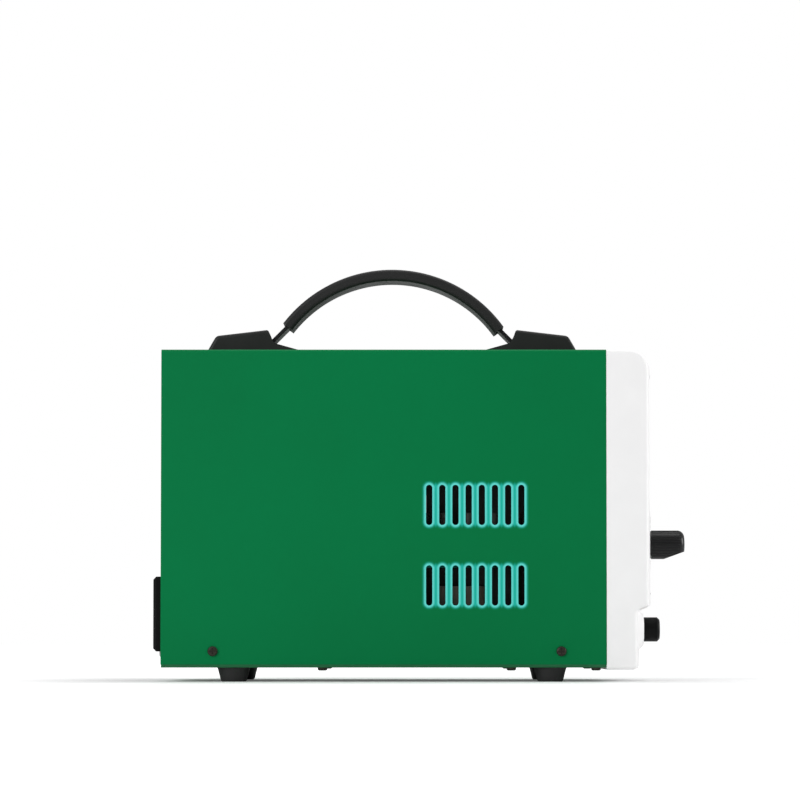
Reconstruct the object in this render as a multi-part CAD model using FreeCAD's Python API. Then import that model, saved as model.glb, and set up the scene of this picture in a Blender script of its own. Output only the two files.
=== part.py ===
"""Portable inverter TIG welder: sheet-metal case, moulded front bezel, strap handle and its insides.

Millimetres. +X points out of the front, +Z up, +Y to the right-hand side seen from the front.
The origin is under the middle of the machine, on the surface that its feet stand on.
"""
import FreeCAD
import Part
import math
import os

V = FreeCAD.Vector
X_AXIS = V(1, 0, 0)
Y_AXIS = V(0, 1, 0)
Z_AXIS = V(0, 0, 1)

# ---------------------------------------------------------------- driving dimensions
case_rear = -166.0
case_front = 119.5
half_width = 62.5
case_bottom = 9.0
case_top = 213.15
sheet = 1.2
bend = 2.2

crown_x = 150.9
crown_sag = 4.5
recess_depth = 7.5
bezel_bottom = 7.6
bezel_back_edge = 0.5
bezel_corner = 12.5
step_low = 45.5
step_high = 49.0
bezel_wall = 2.5
upper_wall_x = 144.4
plate_x = 110.0
lower_wall_x = 137.0

slot_count = 8
slot_pitch = 8.44
slot_first_x = 5.9
slot_rows = (61.6, 113.2)
slot_length = 25.8
slot_width = 4.05

foot_x = (-119.8, 83.8)
foot_y = 48.5
foot_pocket_top = 5.5
side_screw_x = (-132.65, 90.5)
side_screw_z = 19.5
bottom_screw_x = (-62.5, 58.6, 113.0)
bottom_screw_y = 55.5
cover_lift = 2.0
side_hole_r = 2.1
case_hole_r = 1.7
foot_hole_r = 2.1
pan_hole_r = 1.85

handle_x = -18.4
grip_centre_z = 179.9
grip_outer_r = 90.3
grip_inner_r = 82.8
grip_half_angle = 53.4
grip_slip_angle = 0.9
grip_width = 28.0
strap_width = 20.0
strap_thick = 2.4
strap_arc_half_angle = 51.0
cap_width = 30.0
cap_peak_u = 82.3
cap_rim_r = 2.2
anchor_thick = 1.5
handle_hole_r = 2.5
strap_screw_u = 94.0
plate_screw_u = 107.0

knob_y = -30.0
knob_z = 88.5
knob_r = 9.3
knob_base = 148.6
knob_tip = 171.7
knob_flutes = 30
encoder_face = 142.0
encoder_shaft_r = 3.0
encoder_tip = 164.0
plunger_front = 137.5
lower_screw_z = 62.0
upper_screw_z = 198.0
bezel_screw_y = 52.0

board_back = 134.0
board_front = 135.6
control_screw_places = [(s * 40.0, z) for s in (-1, 1) for z in (77.0, 187.0)]

button_y = (0.0, 20.0, 40.0)
button_r = 5.0
button_flange_r = 6.2
indicator_y = (-36.0, -18.0, 0.0, 18.0, 36.0)
indicator_z = 130.0
indicator_r = 1.5
indicator_hole_r = 1.6
pocket_depth = 2.2
fascia_frame = (50.0, 110.0, 198.0, 6.0)
lens_frame = (27.0, 160.0, 186.0, 2.0)
window_frame = (25.0, 162.0, 184.0, 1.5)
fascia_zone = (100.0, 205.0)
fascia_back = 2.1
fascia_front = 0.6

socket_z = 33.5
weld_socket_y = 40.0
gas_outlet_y = -12.0
trigger_y = 14.0
boss_face = 144.3
weld_neck_r = 7.0
contact_r = 6.3
tail_stud_r = 4.0
gas_neck_r = 5.6
trigger_neck_r = 7.1
insert_r = 6.38
nut_back = 130.4
nut_front = 134.9
fitting_back = 129.0

panel_out = -164.5
panel_in = panel_out + sheet
rear_reach = -171.7
fan_z = 140.0
fan_size = 92.0
fan_blades = 7
fan_tip_r = 42.6
fan_rear = panel_in + 0.2
fan_front = fan_rear + 25.0
fan_hole = fan_size / 2 - 4.75
fan_hole_r = 2.2
fan_shaft_r = 1.5
switch_y = -33.0
switch_z = 43.4
inlet_y = 32.0
inlet_z = 42.0
inlet_flange = 2.5
inlet_screw_y = 20.5
gas_inlet_y = 45.0
gas_inlet_z = 78.0
rear_screw_z = 17.0
rear_screw_y = 56.0
earth_y = -2.0
earth_z = 18.0
earth_tip_r = 2.4
earth_hole_r = 3.1
inlet_hole_r = 1.6
gas_shank_r = 6.0
rocker_pivot_x = -163.0
rocker_half_h = 15.0
rocker_half_w = 10.8
rocker_tilt = 8.0
rocker_pin_r = 1.5
rear_body_x = -146.0
tab_y = 6.0
tab_z = 9.0
tab_end = -137.0
blade_end = -138.0
inlet_blade_places = ((-6.5, -4.0), (6.5, -4.0), (0.0, 5.0))

board_z = 96.0
board_thick = 1.6
board_pillars = [(x, s * y) for x, y in ((-106.0, 30.0), (62.0, 44.0)) for s in (-1, 1)]
board_top = board_z + board_thick
heatsink_top = 92.0
fins_low = 30.0
floor_z = case_bottom + sheet
busbar_half_width = 6.0
busbar_x = 116.2
lead_r = 1.8
hose_r = 4.2
barb_r = 3.4
valve_y = 46.0
valve_z = 72.0
inductor_centre = (80.0, 22.0, 38.6)

crown_r = half_width ** 2 / (2 * crown_sag) + crown_sag / 2
crown_axis = crown_x - crown_r
same_place = 0.01
front_zone = (100.0, 200.0)


# ---------------------------------------------------------------- small helpers
def box(x0, x1, y0, y1, z0, z1):
    """A box from its lowest to its highest corner."""
    return Part.makeBox(x1 - x0, y1 - y0, z1 - z0, V(x0, y0, z0))


def rod(r, x0, x1, y, z):
    """A round bar along X."""
    return Part.makeCylinder(r, x1 - x0, V(x0, y, z), X_AXIS)


def cone_x(r0, r1, x0, x1, y, z):
    """A tapered bar along X, r0 at x0 and r1 at x1."""
    return Part.makeCone(r0, r1, x1 - x0, V(x0, y, z), X_AXIS)


def post(r, x, y, z0, z1):
    """A round bar along Z."""
    return Part.makeCylinder(r, z1 - z0, V(x, y, z0), Z_AXIS)


def bar_y(r, x, z, y0, y1):
    """A round bar along Y."""
    return Part.makeCylinder(r, y1 - y0, V(x, y0, z), Y_AXIS)


def prism_y(points, y0, y1):
    """A polygon of (x, z) points pulled along Y."""
    corners = [V(x, y0, z) for x, z in points]
    face = Part.Face(Part.makePolygon(corners + corners[:1]))
    return face.extrude(V(0, y1 - y0, 0))


def hex_x(across_flats, x0, x1, y, z):
    """A hexagonal bar along X."""
    r = across_flats / math.sqrt(3)
    corners = [V(x0, y + r * math.cos(a), z + r * math.sin(a))
               for a in [math.radians(60 * i) for i in range(6)]]
    return Part.Face(Part.makePolygon(corners + corners[:1])).extrude(V(x1 - x0, 0, 0))


def fused(shapes):
    """One solid from several that overlap or touch."""
    return shapes[0].multiFuse(shapes[1:]).removeSplitter()


def cut(shape, tools):
    """The shape with every tool taken out of it."""
    return shape.cut(Part.makeCompound(tools))


def edges_where(shape, test):
    """The edges whose ends and middle all pass the test."""
    found = []
    for edge in shape.Edges:
        points = [edge.valueAt(edge.FirstParameter + t * (edge.LastParameter - edge.FirstParameter))
                  for t in (0.0, 0.5, 1.0)]
        if all(test(p) for p in points):
            found.append(edge)
    return found


def near(a, b):
    return abs(a - b) < same_place


def rounded_column(y0, y1, z0, z1, r):
    """A long bar along X with four rounded corners, for cutting windows."""
    bar = box(*front_zone, y0, y1, z0, z1)
    return bar.makeFillet(r, edges_where(
        bar, lambda p: (near(p.y, y0) or near(p.y, y1)) and (near(p.z, z0) or near(p.z, z1))))


def framed_column(frame, play=0.0):
    """A rounded column for a frame of half width, low, high and corner, smaller by the play all round."""
    half, low, high, corner = frame
    return rounded_column(play - half, half - play, low + play, high - play, corner - play)


def crown_band(inner_offset, outer_offset, z0, z1):
    """A ring that follows the bulge of the front, between two offsets from its surface."""
    base = V(crown_axis, 0, z0)
    outer = Part.makeCylinder(crown_r + outer_offset, z1 - z0, base, Z_AXIS)
    return outer.cut(Part.makeCylinder(crown_r + inner_offset, z1 - z0, base, Z_AXIS))


def crown_at(y):
    """How far forward the bulged front reaches at a distance y from its middle."""
    return crown_axis + math.sqrt(crown_r ** 2 - y ** 2)


def screw(head_r, head_h, shank_r, length):
    """A pan-head screw with a cross recess, head up from z = 0 and shank down."""
    rim_share, arm_share, half_share, depth_share, overlap = 0.6, 0.62, 0.13, 0.55, 0.01
    head = post(head_r, 0, 0, 0, head_h)
    rim = edges_where(head, lambda p: near(p.z, head_h))
    head = head.makeFillet(head_h * rim_share, rim)
    arm, half, depth = head_r * arm_share, head_r * half_share, head_h * depth_share
    cross = [box(-arm, arm, -half, half, head_h - depth, head_h + 1),
             box(-half, half, -arm, arm, head_h - depth, head_h + 1)]
    return fused([cut(head, cross), post(shank_r, 0, 0, -length, overlap)])


def turned(shape, x, y, z, outward):
    """A shape made along +Z, turned so that its +Z points outward and moved to a place."""
    copy = shape.copy()
    copy.Placement = FreeCAD.Placement(V(x, y, z), FreeCAD.Rotation(Z_AXIS, outward))
    return copy


def tube_along(points, radii, outer_r):
    """A round bar along straight runs joined by tangent arcs of the given radii."""
    edges = []
    start = V(*points[0])
    for before, corner, after, radius in zip(points, points[1:], points[2:], radii):
        corner = V(*corner)
        back = (V(*before) - corner).normalize()
        on = (V(*after) - corner).normalize()
        half_inside = back.getAngle(on) / 2
        reach = radius / math.tan(half_inside)
        bisector = (back + on).normalize()
        middle = corner + bisector * (radius / math.sin(half_inside) - radius)
        arc_in, arc_out = corner + back * reach, corner + on * reach
        edges += [Part.LineSegment(start, arc_in).toShape(), Part.Arc(arc_in, middle, arc_out).toShape()]
        start = arc_out
    edges.append(Part.LineSegment(start, V(*points[-1])).toShape())
    path = Part.Wire(edges)
    direction = (V(*points[1]) - V(*points[0])).normalize()
    section = Part.Wire(Part.makeCircle(outer_r, V(*points[0]), direction))
    return path.makePipeShell([section], True, True)


# ---------------------------------------------------------------- case
def vent_slots(y_side):
    """Two rows of upright round-ended slots through one side of the cover."""
    tools = []
    reach = 4.0
    y0, y1 = y_side - reach, y_side + reach
    r = slot_width / 2
    straight = slot_length / 2 - r
    for row_z in slot_rows:
        for i in range(slot_count):
            x = slot_first_x + i * slot_pitch
            tools += [box(x - r, x + r, y0, y1, row_z - straight, row_z + straight),
                      bar_y(r, x, row_z - straight, y0, y1),
                      bar_y(r, x, row_z + straight, y0, y1)]
    return tools


def make_cover():
    """Top and both sides, folded from one sheet."""
    low = case_bottom + cover_lift
    outer = box(case_rear, case_front, -half_width, half_width, low, case_top)
    outer = outer.makeFillet(bend, edges_where(
        outer, lambda p: near(abs(p.y), half_width) and near(p.z, case_top)))
    inner_y, inner_z = half_width - sheet, case_top - sheet
    inner = box(case_rear - 1, case_front + 1, -inner_y, inner_y, low - 1, inner_z)
    inner = inner.makeFillet(bend - sheet, edges_where(
        inner, lambda p: near(abs(p.y), inner_y) and near(p.z, inner_z)))
    tools = vent_slots(-half_width) + vent_slots(half_width)
    for x in side_screw_x:
        tools.append(bar_y(side_hole_r, x, side_screw_z, -half_width - 2, half_width + 2))
    for x in handle_screw_places():
        tools.append(post(handle_hole_r, x, 0, case_top - 4, case_top + 2))
    return cut(outer.cut(inner), tools)


def make_chassis_pan():
    """The floor of the case, its edges turned up inside the cover and its rear edge under the back."""
    side_play, side_top, end_half_width, end_lift = 0.1, 30.0, 58.0, 0.4
    rear_play, front_play, rear_end_top, front_end_top = 0.1, 0.3, 23.5, 28.0
    half = half_width - sheet - side_play
    x0, x1 = panel_in + rear_play, case_front - front_play
    outer = box(x0, x1, -half, half, case_bottom, side_top)
    outer = outer.makeFillet(bend, edges_where(
        outer, lambda p: near(abs(p.y), half) and near(p.z, case_bottom)))
    inner = box(x0 - 1, x1 + 1, -half + sheet, half - sheet, floor_z, side_top + 1)
    inner = inner.makeFillet(bend - sheet, edges_where(
        inner, lambda p: near(abs(p.y), half - sheet) and near(p.z, floor_z)))
    low = case_bottom + end_lift
    ends = [box(x0, x0 + sheet, -end_half_width, end_half_width, low, rear_end_top),
            box(x1 - sheet, x1, -end_half_width, end_half_width, low, front_end_top)]
    rear_edge = box(case_rear, x0 + sheet, bend - half, half - bend, case_bottom, floor_z)
    pan = fused([outer.cut(inner), rear_edge] + ends)
    under, over = case_bottom - 1, floor_z + 1
    tools = [post(foot_hole_r, x, y, under, over) for x, y in foot_places().values()]
    tools += [post(pan_hole_r, x, s * bottom_screw_y, under, over) for x in bottom_screw_x for s in (-1, 1)]
    tools += [bar_y(side_hole_r, x, side_screw_z, -half - 2, half + 2) for x in side_screw_x]
    tools += [rod(case_hole_r, x0 - 1, x0 + 2, s * rear_screw_y, rear_screw_z) for s in (-1, 1)]
    tools.append(rod(earth_hole_r, x0 - 1, x0 + 2, earth_y, earth_z))
    return cut(pan, tools)


def fan_grille():
    """Rings of slots punched in front of the fan, with four spokes left between them."""
    first_r, ring_pitch, ring_count, half_ring, half_spoke, reach = 12.0, 7.4, 5, 2.1, 2.6, 60.0
    spokes = []
    for angle in (45.0, 135.0):
        spoke = box(panel_out - 2, panel_in + 2, -reach, reach, fan_z - half_spoke, fan_z + half_spoke)
        spoke.rotate(V(0, 0, fan_z), X_AXIS, angle)
        spokes.append(spoke)
    rings = []
    for i in range(ring_count):
        r = first_r + i * ring_pitch
        ring = rod(r + half_ring, panel_out - 1, panel_in + 1, 0, fan_z)
        rings.append(cut(ring, [rod(r - half_ring, panel_out - 2, panel_in + 2, 0, fan_z)] + spokes))
    return rings


def fan_corners():
    """The four screw places of the fan."""
    return [(sy * fan_hole, fan_z + sz * fan_hole) for sy in (-1, 1) for sz in (-1, 1)]


def make_rear_panel():
    """Back plate with a flange turned forward along its top and sides."""
    half, low, top, flange_x, flange_low = 61.0, case_bottom + 2.2, case_top - 1.5, -152.0, 34.0
    fold, gas_play, switch_opening, inlet_opening = 1.4, 0.15, (13.2, 18.2), (16.7, 12.2)
    panel = box(panel_out, panel_in, -half, half, low, top)
    flanges = [box(panel_out, flange_x, -half, half, top - sheet, top),
               box(panel_out, flange_x, -half, -half + sheet, flange_low, top),
               box(panel_out, flange_x, half - sheet, half, flange_low, top)]
    panel = fused([panel] + flanges)
    panel = panel.makeFillet(fold, edges_where(panel, lambda p: near(p.x, panel_out) and near(p.z, top)))
    x0, x1 = panel_out - 1, panel_in + 1
    tools = fan_grille() + [rod(fan_hole_r, x0, x1, y, z) for y, z in fan_corners()]
    for y, z, opening in ((switch_y, switch_z, switch_opening), (inlet_y, inlet_z, inlet_opening)):
        half_w, half_h = opening
        tools.append(box(x0, x1, y - half_w, y + half_w, z - half_h, z + half_h))
    tools += [rod(inlet_hole_r, x0, x1, inlet_y + s * inlet_screw_y, inlet_z) for s in (-1, 1)]
    tools += [rod(gas_shank_r + gas_play, x0, x1, gas_inlet_y, gas_inlet_z),
              rod(earth_hole_r, x0, x1, earth_y, earth_z)]
    tools += [rod(case_hole_r, x0, x1, s * rear_screw_y, rear_screw_z) for s in (-1, 1)]
    return cut(panel, tools)


def make_front_plate():
    """Steel frame across the front of the chassis that the bezel is screwed to."""
    half, low, high = 59.0, 12.0, 208.0
    x0, x1 = plate_x, plate_x + sheet
    plate = box(x0, x1, -half, half, low, high)
    openings = ((49.0, 70.0, 190.0), (54.0, 15.0, 52.0))
    tools = [box(x0 - 1, x1 + 1, -half_w, half_w, z0, z1) for half_w, z0, z1 in openings]
    tools += [rod(case_hole_r, x0 - 1, x1 + 1, y, z) for y, z in bezel_screw_places()]
    return cut(plate, tools)


def make_foot(x, y):
    """Tapered rubber foot with a pocket for its screw."""
    hole_r, pocket_r, top_r, neck_r, neck_z = 2.2, 4.2, 10.7, 10.2, 7.9
    taper_r, taper_z, tread_r = 8.4, 0.9, 7.7
    outline = [V(hole_r, 0, case_bottom), V(top_r, 0, case_bottom), V(neck_r, 0, neck_z),
               V(taper_r, 0, taper_z), V(tread_r, 0, 0), V(pocket_r, 0, 0),
               V(pocket_r, 0, foot_pocket_top), V(hole_r, 0, foot_pocket_top)]
    wire = Part.makePolygon(outline + outline[:1])
    foot = Part.Face(wire).revolve(V(0, 0, 0), Z_AXIS, 360)
    foot.translate(V(x, y, 0))
    return Part.makeSolid(foot) if foot.ShapeType != "Solid" else foot


def foot_places():
    """Foot names and places: left is the -Y side, right the +Y side."""
    return {f"foot_{end}_{side}": (x, s * foot_y)
            for end, x in (("rear", foot_x[0]), ("front", foot_x[1]))
            for side, s in (("left", -1), ("right", 1))}


def make_foot_screws():
    one = screw(head_r=3.5, head_h=2.4, shank_r=2.0, length=10.5)
    return [turned(one, x, y, foot_pocket_top, V(0, 0, -1)) for x, y in foot_places().values()]


def make_cover_screws():
    one = screw(head_r=3.2, head_h=2.0, shank_r=1.95, length=9.0)
    return [turned(one, x, s * half_width, side_screw_z, V(0, s, 0)) for x in side_screw_x for s in (-1, 1)]


def make_case_screws():
    """Ten equal screws: six under the pan, two in the back panel and two in the power inlet."""
    one = screw(head_r=3.1, head_h=1.9, shank_r=1.5, length=7.0)
    under = [turned(one, x, s * bottom_screw_y, case_bottom, V(0, 0, -1))
             for x in bottom_screw_x for s in (-1, 1)]
    places = [(panel_out, s * rear_screw_y, rear_screw_z) for s in (-1, 1)]
    places += [(panel_out - inlet_flange, inlet_y + s * inlet_screw_y, inlet_z) for s in (-1, 1)]
    return under + [turned(one, x, y, z, V(-1, 0, 0)) for x, y, z in places]


# ---------------------------------------------------------------- front bezel
def bezel_screw_places():
    return [(s * bezel_screw_y, z) for s in (-1, 1) for z in (lower_screw_z, upper_screw_z)]


def bezel_outline(margin):
    """The side outline of the bezel: recessed foot, step, upright front and rounded top."""
    low_x, top, low_corner, step_corner = crown_x - recess_depth, case_top, 3.0, 2.6
    corners = [(margin, bezel_bottom, 0), (low_x, bezel_bottom, low_corner), (low_x, step_low, low_corner),
               (crown_x, step_high, step_corner), (crown_x, top, bezel_corner), (margin, top, 0)]
    edges, first, start = [], None, None
    for i, (x, z, r) in enumerate(corners):
        here = V(x, 0, z)
        px, pz, _ = corners[i - 1]
        nx, nz, _ = corners[(i + 1) % len(corners)]
        back, on = (V(px, 0, pz) - here).normalize(), (V(nx, 0, nz) - here).normalize()
        if r:
            half_inside = back.getAngle(on) / 2
            reach = r / math.tan(half_inside)
            middle = here + (back + on).normalize() * (r / math.sin(half_inside) - r)
            enter, leave = here + back * reach, here + on * reach
            arc = [Part.Arc(enter, middle, leave).toShape()]
        else:
            enter, leave, arc = here, here, []
        if start is None:
            first = enter
        else:
            edges.append(Part.LineSegment(start, enter).toShape())
        edges += arc
        start = leave
    edges.append(Part.LineSegment(start, first).toShape())
    return Part.Wire(edges)


def bulged_block():
    """The outer shape of the bezel: its side outline swept round a far upright axis."""
    spare, half_sweep, over_top, side_corner = 12.0, 10.0, 250.0, 2.4
    face = Part.Face(bezel_outline(case_front - spare))
    face.rotate(V(crown_axis, 0, 0), Z_AXIS, -half_sweep)
    swept = face.revolve(V(crown_axis, 0, 0), Z_AXIS, 2 * half_sweep)
    block = swept.common(box(case_front, front_zone[1], -half_width, half_width, 0, over_top))
    rims = edges_where(block, lambda p: near(abs(p.y), half_width))
    rims = [e for e in rims if not all(near(v.X, case_front) for v in e.Vertexes)]
    block = block.makeFillet(side_corner, rims)
    return block.makeFillet(bezel_back_edge, edges_where(block, lambda p: near(p.x, case_front)))


def make_front_bezel():
    """White moulding: hollow, open at the back, with a lip that goes inside the cover."""
    inner_y, upper_low, inner_top = half_width - bezel_wall, step_high + bezel_wall, case_top - bezel_wall
    upper = box(case_front - 1, upper_wall_x, -inner_y, inner_y, upper_low, inner_top)
    inner_corner, lower_half, lip_reach = 8.0, 58.5, 11.0
    upper = upper.makeFillet(inner_corner, edges_where(
        upper, lambda p: near(p.x, upper_wall_x) and near(p.z, inner_top)))
    lower = box(case_front - 1, lower_wall_x, -lower_half, lower_half, bezel_bottom + bezel_wall,
                upper_low + 2)
    shell = bulged_block().cut(upper).cut(lower)
    lip_back, lip_half, lip_low, lip_top = case_front - 6.5, 60.8, 32.0, case_top - 1.7
    lip = box(lip_back, case_front + 2, -lip_half, lip_half, lip_low, lip_top)
    lip = lip.cut(box(lip_back - 1, case_front + lip_reach, -lip_half + sheet, lip_half - sheet,
                      lip_low - 1, lip_top - sheet))
    plate_post_r, board_post_r, post_back, post_front = 4.5, 3.0, plate_x + sheet + 0.1, upper_wall_x + 0.5
    posts = [rod(plate_post_r, post_back, post_front, y, z) for y, z in bezel_screw_places()]
    posts += [rod(board_post_r, board_front, post_front, y, z) for y, z in control_screw_places]
    cones = [(16.0, 9.8, 139.6, s * weld_socket_y) for s in (-1, 1)]
    cones += [(10.2, 9.2, 139.0, gas_outlet_y), (11.4, 10.4, 139.0, trigger_y)]
    bosses = [cone_x(root_r, face_r, root_x, boss_face, y, socket_z) for root_r, face_r, root_x, y in cones]
    return cut(fused([shell, lip] + posts + bosses), bezel_openings())


def bezel_openings():
    """Screw holes, socket holes, the fascia's pocket with its window, and the holes for the controls."""
    wall_back, outside, over_crown, button_play = 140.0, 160.0, 8.0, 0.3
    screw_r, plate_screw_end, board_screw_end = 1.5, 130.0, 143.0
    knob_seat_r, knob_seat_x, bush_hole_r = 13.0, 147.4, 3.7
    tools = [rod(screw_r, plate_x, plate_screw_end, y, z) for y, z in bezel_screw_places()]
    tools += [rod(screw_r, board_front - 1, board_screw_end, y, z) for y, z in control_screw_places]
    tools += neck_holes(lower_wall_x - 2, outside)
    pocket = framed_column(fascia_frame).common(crown_band(-pocket_depth, over_crown, *fascia_zone))
    tools += [pocket, framed_column(window_frame)]
    tools += [rod(indicator_hole_r, wall_back, outside, y, indicator_z) for y in indicator_y]
    tools += [rod(knob_seat_r, knob_seat_x, outside, knob_y, knob_z),
              rod(bush_hole_r, wall_back, outside, knob_y, knob_z)]
    return tools + [rod(button_r + button_play, wall_back, outside, y, knob_z) for y in button_y]


def neck_holes(x0, x1):
    """The holes that the necks of the four front fittings pass through."""
    holes = [rod(weld_neck_r, x0, x1, s * weld_socket_y, socket_z) for s in (-1, 1)]
    return holes + [rod(gas_neck_r, x0, x1, gas_outlet_y, socket_z),
                    rod(trigger_neck_r, x0, x1, trigger_y, socket_z)]


def make_bezel_screws():
    """Four screws through the front plate and four through the control board, all from behind."""
    one = screw(head_r=3.0, head_h=1.9, shank_r=1.4, length=8.0)
    found = [turned(one, plate_x, y, z, V(-1, 0, 0)) for y, z in bezel_screw_places()]
    return found + [turned(one, board_back, y, z, V(-1, 0, 0)) for y, z in control_screw_places]


# ---------------------------------------------------------------- control panel
def make_control_fascia():
    """Glossy black overlay that follows the bulge of the bezel."""
    edge_play = 0.15
    skin = crown_band(-fascia_back, -fascia_front, *fascia_zone)
    plate = framed_column(fascia_frame, edge_play).common(skin)
    tools = [framed_column(lens_frame)]
    tools += [rod(indicator_hole_r, *front_zone, y, indicator_z) for y in indicator_y]
    return cut(plate, tools)


def make_display_window():
    """Smoked lens over the three-figure display."""
    edge_play = 0.1
    return framed_column(lens_frame, edge_play).common(
        crown_band(-fascia_back, -fascia_front, *fascia_zone))


def make_indicator_lenses():
    """Light pipes that stand on the control board and end level with the fascia."""
    return [rod(indicator_r, board_front, crown_at(y) - fascia_front, y, indicator_z) for y in indicator_y]


def make_control_board():
    """Upright circuit board with the display and the key switches soldered to it."""
    half, low, high, hole_r, key_half, key_front = 44.0, 72.0, 192.0, 1.6, 3.0, 138.6
    display_front, display_half, display_low, display_high = 143.0, 24.5, 162.5, 183.5
    board = box(board_back, board_front, -half, half, low, high)
    board = cut(board, [rod(hole_r, board_back - 1, board_front + 1, y, z) for y, z in control_screw_places])
    display = box(board_front, display_front, -display_half, display_half, display_low, display_high)
    keys = [box(board_front, key_front, y - key_half, y + key_half, knob_z - key_half, knob_z + key_half)
            for y in button_y]
    return [board, display] + keys


def make_encoder_body():
    """Square housing and threaded bush of the rotary encoder."""
    half, chamber_r, bush_r, bush_front, running_gap, floor_thick = 6.0, 3.9, 3.5, 147.6, 0.05, 0.3
    housing = box(board_front, encoder_face, knob_y - half, knob_y + half, knob_z - half, knob_z + half)
    bush = rod(bush_r, encoder_face - 0.5, bush_front, knob_y, knob_z)
    chamber = rod(chamber_r, board_front + floor_thick, encoder_face - 1.0, knob_y, knob_z)
    shaft_hole = rod(encoder_shaft_r + running_gap, encoder_face - 2.0, bush_front + 2, knob_y, knob_z)
    return cut(fused([housing, bush]), [chamber, shaft_hole])


def make_encoder_plunger():
    """Disc that the shaft pushes against the switch at the bottom of the encoder."""
    disc_r, thick = 2.6, 0.9
    return rod(disc_r, plunger_front - thick, plunger_front, knob_y, knob_z)


def make_encoder_shaft():
    end_gap = 0.05
    return rod(encoder_shaft_r, plunger_front + end_gap, encoder_tip, knob_y, knob_z)


def make_control_knob():
    """Fluted knob whose end is cut away at a slant below, with a groove down the slant."""
    collar_step, collar_end, body_start, tip_corner = 0.4, 2.0, 1.8, 4.4
    flute_r, flute_ring_r, slant_x, slant_angle, shaft_gap = 0.62, knob_r + 0.25, 158.5, 20.0, 0.02
    reach, half_reach, line_start, line_half, line_deep = 30.0, 15.0, 1.5, 0.6, 0.4
    collar = rod(knob_r - collar_step, knob_base, knob_base + collar_end, knob_y, knob_z)
    body = rod(knob_r, knob_base + body_start, knob_tip, knob_y, knob_z)
    body = body.makeFillet(tip_corner, edges_where(body, lambda p: near(p.x, knob_tip)))
    flutes = []
    for i in range(knob_flutes):
        a = 2 * math.pi * i / knob_flutes
        flutes.append(rod(flute_r, knob_base + 1, knob_tip + 1,
                          knob_y + flute_ring_r * math.cos(a), knob_z + flute_ring_r * math.sin(a)))
    slant = box(0, reach, -half_reach, half_reach, -half_reach, 0)
    line = box(line_start, reach, -line_half, line_half, -1, line_deep)
    for tool in (slant, line):
        tool.rotate(V(0, 0, 0), Y_AXIS, -slant_angle)
        tool.translate(V(slant_x, knob_y, knob_z - knob_r))
    bore = rod(encoder_shaft_r + shaft_gap, knob_base - 1, encoder_tip, knob_y, knob_z)
    return cut(fused([collar, cut(body, flutes)]), [slant, bore, line])


def make_button(y):
    """Push button held in behind the bezel wall by its flange."""
    front = crown_at(y) + 1.0
    flange_back, flange_front, stem_r, stem_back = 142.4, upper_wall_x - 0.2, 2.0, 139.5
    cap_back, soft_edge = flange_back + 0.6, 0.9
    cap = rod(button_r, cap_back, front, y, knob_z)
    cap = cap.makeFillet(soft_edge, edges_where(cap, lambda p: near(p.x, front)))
    return fused([cap, rod(button_flange_r, flange_back, flange_front, y, knob_z),
                  rod(stem_r, stem_back, cap_back, y, knob_z)])


# ---------------------------------------------------------------- front sockets
def make_socket_plate():
    """Insulating board behind the sockets."""
    half, low, high = 56.0, 13.0, 42.6
    plate = box(lower_wall_x - 2, lower_wall_x, -half, half, low, high)
    return cut(plate, neck_holes(*front_zone))


def make_socket_collar(y):
    """Black insulating collar of a welding cable socket."""
    tip, outer_r, bevel = 156.0, 7.85, 2.8
    front = rod(outer_r, boss_face, tip, y, socket_z)
    front = front.makeChamfer(bevel, edges_where(front, lambda p: near(p.x, tip)))
    neck = rod(weld_neck_r - 0.05, fitting_back, boss_face + 0.5, y, socket_z)
    return fused([front, neck]).cut(rod(contact_r + 0.02, fitting_back - 1, tip + 5, y, socket_z))


def make_socket_contact(y):
    """Brass bayonet socket with its keyway and its tail stud."""
    shoulder, tip, tail_back, bore_back, bore_r = 122.0, 153.6, 108.0, 131.0, 4.5
    body = fused([rod(contact_r, shoulder, tip, y, socket_z),
                  rod(tail_stud_r, tail_back, shoulder + 0.5, y, socket_z)])
    keyway = box(134, 160, y - 1.3, y + 1.3, socket_z, socket_z + 5.7)
    return cut(body, [rod(bore_r, bore_back, 160, y, socket_z), keyway])


def ring_nut(across_flats, bore_r, x0, x1, y, z):
    return hex_x(across_flats, x0, x1, y, z).cut(rod(bore_r, x0 - 1, x1 + 1, y, z))


def make_socket_nuts():
    """Nuts behind the socket plate, and the nuts on the two tail studs."""
    fittings = [(19, weld_neck_r, s * weld_socket_y) for s in (-1, 1)]
    fittings += [(15, gas_neck_r - 0.05, gas_outlet_y), (18, trigger_neck_r - 0.05, trigger_y)]
    nuts = [ring_nut(wide, bore_r, nut_back, nut_front, y, socket_z) for wide, bore_r, y in fittings]
    return nuts + [ring_nut(13, tail_stud_r + 0.02, busbar_x - 4, busbar_x, s * weld_socket_y, socket_z)
                   for s in (-1, 1)]


def thread_grooves(outer_r, root_r, width, first_x, pitch, count, y):
    """Shallow rings cut round a fitting where it is threaded."""
    return [rod(outer_r, x, x + width, y, socket_z).cut(rod(root_r, x - 1, x + 2, y, socket_z))
            for x in [first_x + i * pitch for i in range(count)]]


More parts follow.
